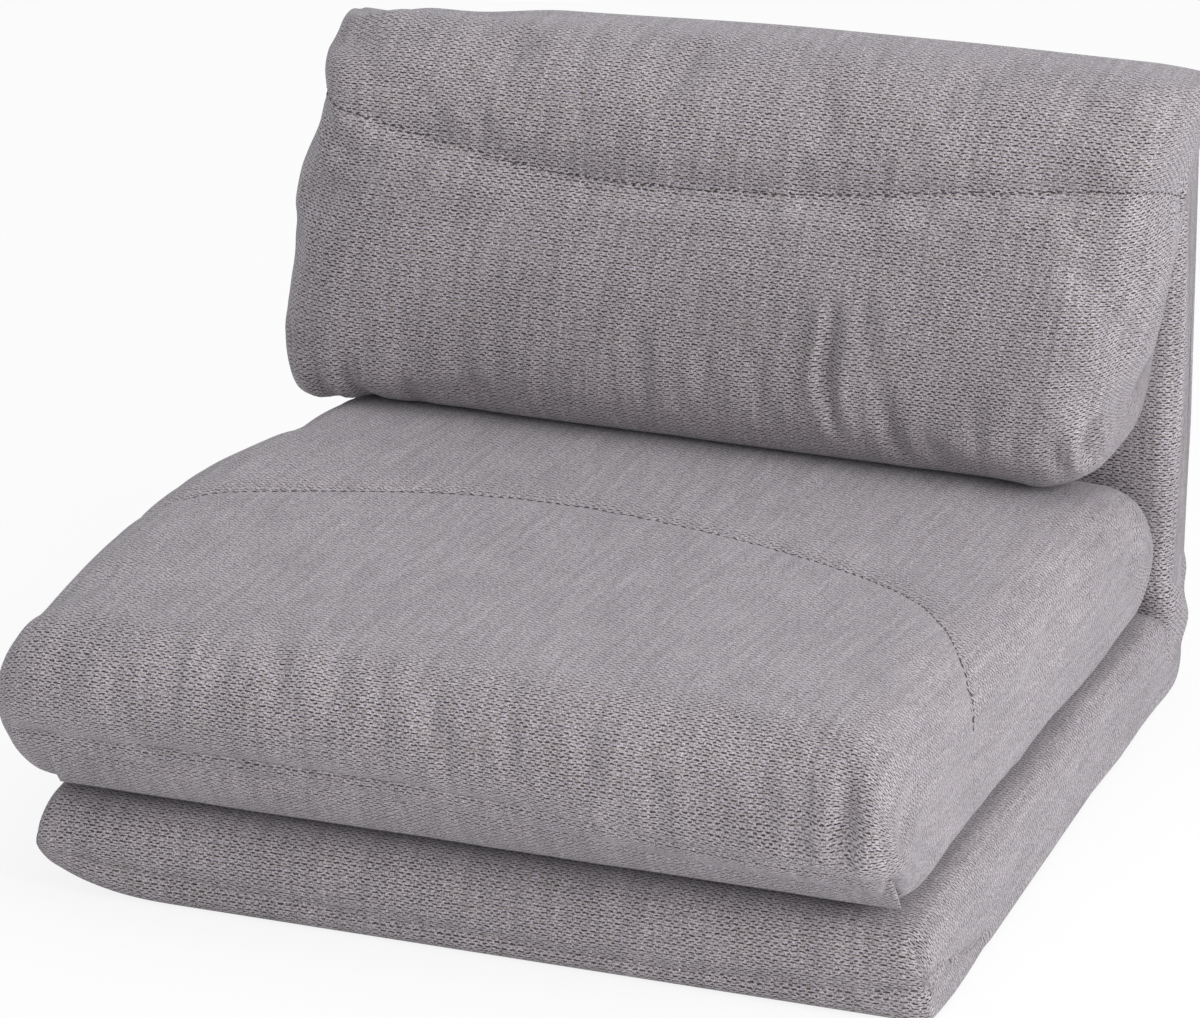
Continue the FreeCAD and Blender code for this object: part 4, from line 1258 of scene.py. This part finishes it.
@dataclass
class HingeBand:
    """Wide strip of cloth that the seat pad turns over on."""

    half_width: float = 0.350
    side_depth: float = 0.012
    pitch: float = 0.006
    low: tuple[float, float] = (-0.321, 0.0834)
    high: tuple[float, float] = (-0.358, 0.137)
    thick: float = 0.006
    seam_step: float = 0.001
    seam_in: float = 0.003
    long_wave: float = 0.0008
    short_wave: float = 0.0006

    def ring(self, share: float, left: float) -> Ring:
        """Give the band's control points at one place across it.

        Args:
            share: Place across the band, from -1 to 1.
            left: Share of the thickness left there.

        Returns:
            The outer and the inner chain.
        """
        low = np.array(self.low)
        high = np.array(self.high)
        along = (high - low) / np.linalg.norm(high - low)
        out = np.array([-along[1], along[0]])
        wave = self.long_wave * math.sin(9.0 * share) + self.short_wave * math.sin(23.0 * share + 1.0)
        outer = self.thick / 2 * left
        inside = high + along * self.seam_step - out * self.seam_in
        centre = [low + along * self.seam_step, low + (high - low) * 0.3, low + (high - low) * 0.7, inside]
        lift = [0.2, 1.0, 1.0, 0.3]
        top = [tuple(c + out * (outer * k + wave * k * left)) for c, k in zip(centre, lift)]
        bottom = [tuple(c - out * outer * k) for c, k in zip(reversed(centre), reversed(lift))]
        top[0] = bottom[-1] = tuple(centre[0])
        bottom[0] = top[-1] = tuple(centre[3])
        return top, bottom

    def build(self, finishes: Finishes) -> bpy.types.Object:
        """Build and dress the band.

        Args:
            finishes: The chair's finishes.

        Returns:
            The band.
        """
        band = Swept(
            "hinge_band_strip", self.half_width, self.side_depth, self.ring, pitch=self.pitch, side_steps=4
        ).build()
        subdivide(band)
        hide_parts("hinge_band_cloth", "hinge_band_wadding")
        return fit(band, Body.BAND, finishes.cover)


@dataclass
class FloorBase:
    """Low base in its sewn cover."""

    half_width: float = 0.366
    side_depth: float = 0.028
    fullness: float = 3.6
    pitch: float = 0.008
    front: float = -0.344
    rear: float = 0.3885
    top: float = 0.0795
    middle: float = 0.030
    ground: float = 0.0005
    lowest: float = 0.0003
    turn_y: float = 0.349
    front_draw: float = 0.016
    rear_draw: float = 0.010
    corner_lift: float = 0.030
    corner_splay: float = 0.016
    rear_tuck: float = 0.005
    cloth_height: float = 0.0015
    cloth_wave: float = 0.0004
    cloth_thick: float = 0.0008
    cloth_steps: int = 60
    hem: Seam = Seam(
        in_metres(
            (-345, -338, 34), (-291, -343, 28), (-180, -345, 25), (29, -345, 18), (194, -345, 18), (315, -343, 24),
            (352, -338, 30), (365, -314, 36), (367, -277, 29), (367, -227, 17), (366, -180, 11),
        ),
        depth=0.0030, width=0.008, groove=0.0018,
    )
    dart: Seam = Seam(in_metres((354, -334, 68), (359, -334, 47), (363, -332, 26)), depth=0.0034, width=0.008)
    folds: tuple[Fold, ...] = fold_rows(
        (2, 9, (-349, -325, 71), (-333, -343, 46), (-326, -341, 25)),
        (1.2, 10, (-150, -330, 74), (-152, -345, 50), (-156, -345, 27)),
        (1.2, 10, (80, -330, 74), (83, -345, 50), (86, -345, 22)),
        (1.6, 9, (270, -330, 74), (276, -345, 50), (280, -345, 24)),
        (1.8, 11, (366, -100, 66), (368, -40, 50), (368, 30, 40)),
        (1.6, 11, (366, 120, 50), (368, 200, 44), (366, 270, 30)),
    )

    def ring(self, share: float, left: float) -> Ring:
        """Give the base's control points at one place across it.

        Args:
            share: Place across the base, from -1 to 1.
            left: Share of the thickness left there.

        Returns:
            The upper and the lower chain.
        """
        fall = 1.0 - left
        front = self.front + self.front_draw * fall
        rear = self.rear - self.rear_draw * fall
        lift = self.corner_lift * max(0.0, (-share - 0.66) / 0.34) ** 2.8

        def up(height: float) -> float:
            """Place a height of the top, which falls to the base's middle at its sides."""
            return self.middle + (height - self.middle) * left

        def down(height: float) -> float:
            """Place a height of the underside, which is rounder at the left side."""
            return self.middle - (self.middle - height) * left ** (0.35 + 0.40 * smooth_step(-share, 0.0, 0.9))

        top = [
            (front, up(0.038)), (front + 0.0035, up(0.058)), (front + 0.018, up(0.0735)),
            (front + 0.055, up(self.top)), (-0.10, up(self.top)), (0.10, up(self.top)), (0.27, up(self.top)),
            (self.turn_y - 0.012, up(self.top)), (self.turn_y + 0.021, up(0.0715)), (rear - 0.004, up(0.056)),
            (rear, self.middle),
        ]
        bottom = [
            (rear, self.middle), (rear - 0.001, down(0.012)), (rear - 0.008, down(self.ground)),
            (0.25, down(self.ground)), (0.0, down(self.ground)), (-0.20, down(self.ground) + 0.3 * lift),
            (front + 0.014, down(self.ground) + lift), (front + 0.003, down(0.0022) + lift),
            (front - 0.001, down(0.014) + 0.7 * lift), (front, up(0.038)),
        ]
        return top, bottom

    def splay(self, at: np.ndarray) -> np.ndarray:
        """Give the sideways shift that spreads the right front corner on the floor.

        Args:
            at: Points of the base, one per row.

        Returns:
            Shift along x at each point.
        """
        right = rise(at[:, 0], 0.20, 0.16) ** 2
        front = rise(at[:, 1], 0.12, -0.40)
        rear = rise(at[:, 1], 0.20, 0.12)
        low = 1.0 - 0.6 * rise(at[:, 2], 0.0, 0.08)
        return right * low * (self.corner_splay * front - self.rear_tuck * rear)

    def build(self, finishes: Finishes) -> bpy.types.Object:
        """Build and dress the base.

        Args:
            finishes: The chair's finishes.

        Returns:
            The base.
        """
        base = Swept("base_pad", self.half_width, self.side_depth, self.ring, self.fullness, self.pitch).build()
        subdivide(base)
        press(base, [self.hem, self.dart, *self.folds])
        places = coordinates(base.data)
        places[:, 2] = np.maximum(places[:, 2], self.lowest)
        set_coordinates(base.data, places)
        stitches = Stitches("base_hem_stitches").build(base, smooth_path(self.hem.path, FINE))
        slide(base, self.splay)
        slide(stitches, self.splay)
        fit(stitches, Body.BASE, finishes.pale_thread)
        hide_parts("base_cover", "base_wadding")
        return fit(base, Body.BASE, finishes.cover)

    def build_underside(self, finishes: Finishes) -> bpy.types.Object:
        """Build the black cloth under the base.

        Args:
            finishes: The chair's finishes.

        Returns:
            The cloth.
        """
        low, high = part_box("base_underside_cloth")
        n = self.cloth_steps
        verts = [
            (x, y, self.cloth_height + self.cloth_wave * math.sin(31 * x) * math.sin(27 * y))
            for x in np.linspace(low.x, high.x, n) for y in np.linspace(low.y, high.y, n)
        ]
        faces = [(k, k + n, k + n + 1, k + 1) for i in range(n - 1) for k in range(i * n, i * n + n - 1)]
        cloth = mesh_object("base_underside", verts, faces)
        thicken(cloth, self.cloth_thick)
        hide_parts("base_underside_cloth")
        return fit(cloth, Body.BASE, finishes.under)


def left_dip(share: float) -> float:
    """Give the dip of the back's top edge near its left end, as a share of its depth."""
    return smooth_step(-share, 0.52, 0.76) * (1.0 - smooth_step(-share, 0.90, 1.0))


def left_fall(share: float) -> float:
    """Give the fall of the back's top edge over its left half, as a share of its depth."""
    return smooth_step(-share, -0.1, 0.7)


@dataclass
class BackPanel:
    """Thin padded panel behind the back cushion."""

    half_width: float = 0.364
    side_depth: float = 0.026
    fullness: float = 3.0
    pitch: float = 0.012
    front: float = 0.3325
    rear: float = 0.3930
    low: float = 0.0825
    top: float = 0.5415
    waist: float = 0.30
    right_swell: float = 0.003

    def ring(self, share: float, left: float) -> Ring:
        """Give the panel's control points at one place across it.

        Args:
            share: Place across the panel, from -1 to 1.
            left: Share of the thickness left there.

        Returns:
            The chain over the top and the chain under the lower end.
        """
        fall = 1.0 - left
        middle = (self.front + self.rear) / 2
        half = (self.rear - self.front) / 2 * left
        top = self.top + 0.006 * share - 0.010 * fall - 0.012 * smooth_step(-share, 0.82, 1.0)
        top -= 0.008 * left_fall(share) + 0.007 * left_dip(share)
        low = self.low + 0.004 * fall
        over = [
            (middle - half, self.waist), (middle - half, 0.42), (middle - half, top - 0.022),
            (middle - half * 0.7, top - 0.003), (middle - half * 0.2, top), (middle + half * 0.55, top - 0.009),
            (middle + half * 0.92, top - 0.028), (middle + half, 0.44), (middle + half, self.waist),
        ]
        under = [
            (middle + half, self.waist), (middle + half, 0.18), (middle + half, low + 0.014),
            (middle + half * 0.7, low + 0.001), (middle, low), (middle - half * 0.7, low + 0.001),
            (middle - half, low + 0.014), (middle - half, 0.18), (middle - half, self.waist),
        ]
        return over, under

    def skew(self, at: np.ndarray) -> np.ndarray:
        """Give the sideways shift that swells the panel's right side.

        Args:
            at: Points of the panel, one per row.

        Returns:
            Shift along x at each point.
        """
        return self.right_swell * rise(at[:, 2], 0.12, 0.12) * rise(at[:, 0], 0.0, self.half_width) ** 2

    def build(self, finishes: Finishes) -> bpy.types.Object:
        """Build and dress the panel.

        Args:
            finishes: The chair's finishes.

        Returns:
            The panel.
        """
        panel = Swept(
            "back_panel", self.half_width, self.side_depth, self.ring, self.fullness, self.pitch, side_steps=8
        ).build()
        slide(panel, self.skew)
        subdivide(panel)
        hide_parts("back_panel_cover")
        return fit(panel, Body.BACK, finishes.cover)


@dataclass
class BackCushion:
    """Full cushion that hangs on the back panel, with a head roll over its stitched line."""

    half_width: float = 0.374
    side_depth: float = 0.052
    fullness: float = 3.0
    pitch: float = 0.0075
    back: float = 0.3300
    lip: float = 0.2130
    top: float = 0.552
    roll_draw: float = 0.054
    waist_draw: float = 0.012
    lean: float = 0.013
    right_tuck: float = 0.0095
    waist: float = 0.012
    behind: float = 0.009
    left_swell: float = 0.009
    left_neck: float = 0.009
    left_low: float = 0.003
    seam_drop: float = 0.044
    swell: float = 0.009
    slack: float = 0.012
    line: Seam = Seam(
        in_metres(
            (-386, 290, 483), (-362, 246, 477), (-287, 233, 464), (-233, 232, 455), (-170, 230, 445),
            (-103, 229, 440), (-33, 229, 442), (28, 230, 445), (101, 231, 451), (217, 234, 466), (296, 237, 475),
            (344, 247, 478), (359, 273, 473), (364, 297, 463), (368, 335, 448),
        ),
        depth=0.0034, width=0.016,
    )
    folds: tuple[Fold, ...] = fold_rows(
        (7, 6, (110, 216, 376), (109, 210, 342), (105, 208, 303), (112, 209, 269), (122, 214, 247)),
        (-2.6, 8, (99, 216, 366), (97, 210, 335), (94, 208, 303), (99, 209, 268)),
        (2.6, 8, (138, 218, 383), (139, 211, 346), (142, 209, 312)),
        (4.8, 7, (153, 209, 314), (158, 208, 280), (167, 214, 247), (172, 226, 232)),
        (2.6, 8, (-61, 210, 338), (-57, 208, 296), (-52, 212, 251)),
        (2.6, 8, (-215, 209, 311), (-217, 209, 275), (-216, 220, 235)),
        (5.2, 8, (-320, 209, 271), (-317, 218, 239), (-305, 240, 226)),
        (5, 7, (-350, 211, 266), (-347, 219, 238), (-338, 238, 226)),
        (4.8, 7, (-372, 225, 290), (-370, 228, 258), (-362, 240, 238)),
        (3, 8, (-270, 209, 262), (-268, 216, 238), (-262, 236, 222)),
        (6, 8, (352, 222, 280), (338, 214, 262), (326, 216, 245)),
        (4.8, 7, (330, 224, 282), (340, 216, 258), (352, 232, 246)),
        (2.8, 8, (240, 208, 299), (234, 209, 272), (235, 213, 249)),
        (3.4, 7, (295, 208, 280), (300, 210, 261), (305, 214, 247), (306, 226, 232)),
        (3.4, 10, (351, 235, 433), (363, 248, 397), (364, 255, 360)),
        (3, 10, (323, 221, 392), (351, 226, 368), (361, 255, 332)),
        (2, 8, (-3, 209, 328), (0, 208, 294), (6, 211, 254)),
        (2, 8, (-144, 208, 302), (-142, 209, 271), (-139, 219, 237)),
        (2.6, 8, (45, 209, 322), (47, 208, 287), (55, 212, 252)),
        (4, 9, (-372, 260, 466), (-347, 249, 455), (-326, 234, 432)),
        (2.8, 12, (318, 279, 535), (342, 257, 519), (354, 247, 494)),
        (2.4, 14, (261, 300, 547), (305, 268, 528), (329, 245, 500)),
        (2.2, 14, (-340, 285, 530), (-322, 262, 512), (-300, 245, 480)),
    )

    def ring(self, share: float, left: float) -> Ring:
        """Give the cushion's control points at one place across it.

        Args:
            share: Place across the cushion, from -1 to 1.
            left: Share of the thickness left there.

        Returns:
            The chain over the top and the chain under the lip.
        """
        fall = 1.0 - left
        lip = self.lip + 0.032 * fall + 0.020 * smooth_step(share, 0.80, 1.0)
        high = 0.010 * fall - 0.006 * share + 0.012 * smooth_step(-share, 0.82, 1.0)
        high += 0.003 * smooth_step(share, 0.85, 1.0)
        rear = high + 0.001 + 0.007 * left_fall(share) + 0.002 * smooth_step(share, 0.4, 0.9) + 0.008 * left_dip(share)
        roll = self.back + self.roll_draw * fall ** 2
        waist = (self.back + self.waist_draw * fall ** 2, 0.47)
        widest = (self.back - 0.1210 * left, 0.320)

        def out(depth: float) -> float:
            """Place a depth of the cushion in front of the panel."""
            return self.back - depth * left

        def over_panel(depth: float, drop: float) -> tuple[float, float]:
            """Place a point of the cloth that goes over the panel's top and down behind it."""
            return self.back + depth * left + self.roll_draw * fall, self.top - drop - rear

        over = [
            widest, (out(0.117), 0.365), (out(0.108), 0.405), (waist[0] - 0.1010 * left, 0.445),
            (roll - 0.0935 * left, 0.480), (roll - 0.078 * left, 0.515 - high * 0.5),
            (roll - 0.054 * left, self.top - 0.019 - high), (roll - 0.026 * left, self.top - 0.003 - high),
            over_panel(0.008, 0.0012), over_panel(0.032, 0.003), over_panel(0.051, 0.011), over_panel(0.0615, 0.026),
            over_panel(0.0645, self.seam_drop), over_panel(0.050, self.seam_drop + 0.004), waist,
        ]
        under = [
            waist, (self.back, 0.36), (self.back, lip + 0.030), (out(0.012), lip + 0.007), (out(0.040), lip),
            (out(0.075), lip - 0.001), (out(0.102), lip + 0.002), (out(0.118), 0.8 * lip + 0.2 * self.lip + 0.022),
            (out(0.1225), 0.270 + (lip - self.lip) * 0.4), widest,
        ]
        return over, under

    def skew(self, at: np.ndarray) -> np.ndarray:
        """Give the sideways shift that hangs the cushion askew.

        Args:
            at: Points of the cushion, one per row.

        Returns:
            Shift along x at each point.
        """
        height = at[:, 2]
        right = rise(at[:, 0], 0.0, self.half_width) ** 2
        left = rise(at[:, 0], 0.0, -self.half_width) ** 2
        under_roll = self.right_tuck * rise(height, 0.535, -0.07)
        low = self.waist * rise(height, 0.40, -0.12)
        lean = self.lean * np.clip((height - 0.41) / 0.13, -1.0, 1.0)
        neck = self.left_neck * np.exp(-(((height - 0.452) / 0.028) ** 2)) - self.left_low * rise(height, 0.42, -0.04)
        behind = self.behind * rise(at[:, 1], 0.335, 0.04)
        return lean - right * (under_roll + low + behind) - left * (self.left_swell - neck)

    def build(self, finishes: Finishes) -> bpy.types.Object:
        """Build and dress the cushion.

        Args:
            finishes: The chair's finishes.

        Returns:
            The cushion.
        """
        cushion = Swept("back_cushion", self.half_width, self.side_depth, self.ring, self.fullness, self.pitch).build()
        places = coordinates(cushion.data)
        held = np.zeros(len(places))
        held[places[:, 1] > self.back - 0.004] = 1.0
        seam, _ = distance_to_path(places[:, [0, 2]], smooth_path(self.line.path)[:, [0, 2]])
        held[(seam < 0.006) & (places[:, 1] < 0.30)] = 0.6
        Puff(slack=self.slack, cap=self.swell).run(cushion, held)
        slide(cushion, self.skew)
        subdivide(cushion)
        press(cushion, [self.line, *self.folds])
        # The line's stitches take the near-black seam thread, whose colour is painted shade.
        stitches = Stitches("back_line_stitches").build(cushion, lay(cushion, smooth_path(self.line.path, FINE)))
        fit(stitches, Body.BACK, finishes.thread)
        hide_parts("back_cushion_cover", "back_cushion_fibre")
        return fit(cushion, Body.BACK, finishes.cover)


@dataclass
class HingeGusset:
    """Cover cloth over the recline hinge, along the rear and round both sides."""

    half_width: float = 0.3655
    fore: float = 0.329
    rear: float = 0.3925
    low: float = 0.026
    high: float = 0.126
    corner: float = 0.014
    inward: float = 0.075
    thick: float = 0.0012
    side_crease: float = 0.0028
    rear_crease: float = 0.0012
    sides_from: float = 0.3
    swell: float = 0.0052
    inset: float = 0.0045
    rows: int = 16

    def outline(self) -> list[tuple[float, float]]:
        """List the places that the cloth goes through, seen from above.

        Returns:
            Points (x, y) from the left end round the rear to the right end.
        """
        side, corner = self.half_width, self.corner
        turns = np.linspace(0.0, math.pi / 2, 7)
        half = [(float(x), self.fore) for x in np.linspace(-side + self.inward, -side + corner, 9)[:-1]]
        half += [
            (-side + corner - corner * math.sin(t), self.fore + corner - corner * math.cos(t))
            for t in np.linspace(0.1, math.pi / 2, 5)
        ]
        half += [(-side, float(y)) for y in np.linspace(self.fore + corner, self.rear - corner, 6)[1:-1]]
        half += [(-side + corner - corner * math.cos(t), self.rear - corner + corner * math.sin(t)) for t in turns]
        rear = [(float(x), self.rear) for x in np.linspace(-side + corner, side - corner, 72)[1:-1]]
        return half + rear + [(-x, y) for x, y in reversed(half)]

    def outward(self, x: float, y: float) -> Vector:
        """Find the outward direction.

        Args:
            x: Place across the chair.
            y: Place from front to rear.

        Returns:
            The direction.
        """
        on_side = abs(x) > self.half_width - 0.0001
        across = math.copysign(1, x) if abs(x) > self.half_width - self.corner else 0
        return Vector((across, 0 if on_side else math.copysign(1, y - 0.36), 0)).normalized()

    def build(self, finishes: Finishes) -> bpy.types.Object:
        """Build and dress the gusset.

        Args:
            finishes: The chair's finishes.

        Returns:
            The gusset.
        """
        run = self.outline()
        walked = walked_along(np.array(run))
        verts, cloth = [], []
        for (x, y), along in zip(run, walked):
            crease = self.side_crease if abs(x) > self.sides_from else self.rear_crease
            out = self.outward(x, y)
            for z in np.linspace(self.low, self.high, self.rows):
                middle = math.sin(math.pi * (z - self.low) / (self.high - self.low))
                swell = crease * math.sin(75 * along - 110 * z) * middle + self.swell * middle - self.inset
                verts.append((x + out.x * swell, y + out.y * swell, z))
                cloth.append((float(along), float(z)))
        n = self.rows
        faces = [(k, k + 1, k + n + 1, k + n) for i in range(len(run) - 1) for k in range(i * n, i * n + n - 1)]
        gusset = mesh_object("hinge_gusset", verts, faces)
        set_weave(gusset.data, [cloth[v] for face in faces for v in face])
        thicken(gusset, self.thick)
        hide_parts("back_gusset_cloth")
        gusset.data.materials.append(finishes.cover)
        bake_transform(gusset)
        log.info("%s: %d faces over the recline hinge", gusset.name, len(gusset.data.polygons))
        return gusset


# Setting


@dataclass(frozen=True)
class Lamp:
    """A square soft lamp."""

    name: str
    place: Point
    aim: Point
    size: float
    power: float

    def hang(self) -> None:
        """Hang the lamp, facing its aim."""
        data = bpy.data.lights.new(self.name, "AREA")
        data.size = self.size
        data.energy = self.power
        item = bpy.data.objects.new(self.name, data)
        item.location = self.place
        item.rotation_euler = (Vector(self.aim) - Vector(self.place)).to_track_quat("-Z", "Y").to_euler()
        bpy.context.scene.collection.objects.link(item)


@dataclass(frozen=True)
class Studio:
    """Camera, lamps, background and floor."""

    eye: Point = (1.967, -5.258, 2.422)
    pitch: float = 68.82
    yaw: float = 20.67
    lens: float = 225.0
    sensor: float = 36.0
    farthest: float = 50.0
    sky: Colour = (0.97, 0.98, 1.0)
    sky_power: float = 0.60
    lamps: tuple[Lamp, ...] = (
        Lamp("key", (3.2, -0.8, 1.9), (0.0, 0.0, 0.25), 2.0, 76.0),
        Lamp("front", (1.9, -4.0, 1.4), (0.0, 0.0, 0.20), 2.4, 28.0),
        Lamp("top", (0.2, 0.2, 3.2), (0.0, 0.0, 0.0), 2.6, 25.0),
    )
    white: Colour = (1.0, 1.0, 1.0)
    floor_reach: float = 12.0
    floor_tones: tuple[Colour, Colour] = ((0.90, 0.90, 0.90), (0.93, 0.93, 0.93))
    floor_white: float = 0.86

    def place_camera(self) -> None:
        """Set the camera at the photograph's viewing angle."""
        data = bpy.data.cameras.new("view")
        data.lens = self.lens
        data.sensor_width = self.sensor
        data.clip_end = self.farthest
        camera = bpy.data.objects.new("view", data)
        camera.location = self.eye
        camera.rotation_euler = Euler((math.radians(self.pitch), 0.0, math.radians(self.yaw)))
        bpy.context.scene.collection.objects.link(camera)
        bpy.context.scene.camera = camera

    def light(self) -> None:
        """Light the chair softly and show a white background."""
        world = bpy.data.worlds.new("studio")
        bpy.context.scene.world = world
        world.use_nodes = True
        sheet = Sheet(world.node_tree)
        soft = sheet.place("ShaderNodeBackground", {"Color": self.sky, "Strength": self.sky_power}).outputs[0]
        white = sheet.place("ShaderNodeBackground", {"Color": self.white}).outputs[0]
        path = sheet.add("ShaderNodeLightPath").outputs
        seen = sheet.math("MAXIMUM", path["Is Camera Ray"], path["Is Glossy Ray"])
        seen = sheet.math("MAXIMUM", seen, path["Is Transmission Ray"])
        mixed = sheet.place("ShaderNodeMixShader", {0: seen, 1: soft, 2: white}).outputs[0]
        sheet.finish_with(mixed, "ShaderNodeOutputWorld")
        for lamp in self.lamps:
            lamp.hang()

    def lay_floor(self) -> None:
        """Lay a plain pale floor that keeps the chair's shadow."""
        size = self.floor_reach
        corners = [(-size, -size, 0), (size, -size, 0), (size, size, 0), (-size, size, 0)]
        floor = mesh_object("floor", corners, [(0, 1, 2, 3)])
        material, sheet = new_material("pale_floor")
        cloud = sheet.noise(sheet.add("ShaderNodeTexCoord").outputs["Object"], 1.5)
        looks = {"Base Color": sheet.mix(cloud, *self.floor_tones), "Roughness": 0.9, "Specular IOR Level": 0.1}
        matt = sheet.place("ShaderNodeBsdfPrincipled", looks).outputs["BSDF"]
        glow = sheet.place("ShaderNodeEmission", {"Color": self.white, "Strength": 1.0}).outputs[0]
        seen = sheet.times(sheet.add("ShaderNodeLightPath").outputs["Is Camera Ray"], self.floor_white)
        sheet.finish_with(sheet.place("ShaderNodeMixShader", {0: seen, 1: matt, 2: glow}).outputs[0])
        floor.data.materials.append(material)
        floor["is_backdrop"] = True


def write_sizes(packed: object) -> None:
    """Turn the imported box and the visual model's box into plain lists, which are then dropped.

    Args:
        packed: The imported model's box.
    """

    def plain(box: Sequence[Sequence[float]]) -> list[list[float]]:
        """Turn a box into plain lists of rounded numbers."""
        return [[round(float(value), 5) for value in corner] for corner in box]

    {"packed": plain(packed), "visual": plain(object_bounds())}


def main() -> None:
    """Build, dress and light the chair bed."""
    logging.basicConfig(level=logging.INFO, format="%(message)s")
    bpy.context.scene.view_settings.view_transform = "Standard"
    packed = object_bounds()
    finishes = Finishes()
    finishes.dress_frame()
    base = FloorBase()
    base.build(finishes)
    base.build_underside(finishes)
    HingeBand().build(finishes)
    SeatPad().build(finishes)
    BackPanel().build(finishes)
    BackCushion().build(finishes)
    HingeGusset().build(finishes)
    studio = Studio()
    studio.place_camera()
    studio.light()
    studio.lay_floor()
    write_sizes(packed)


if __name__ == "__main__":
    main()
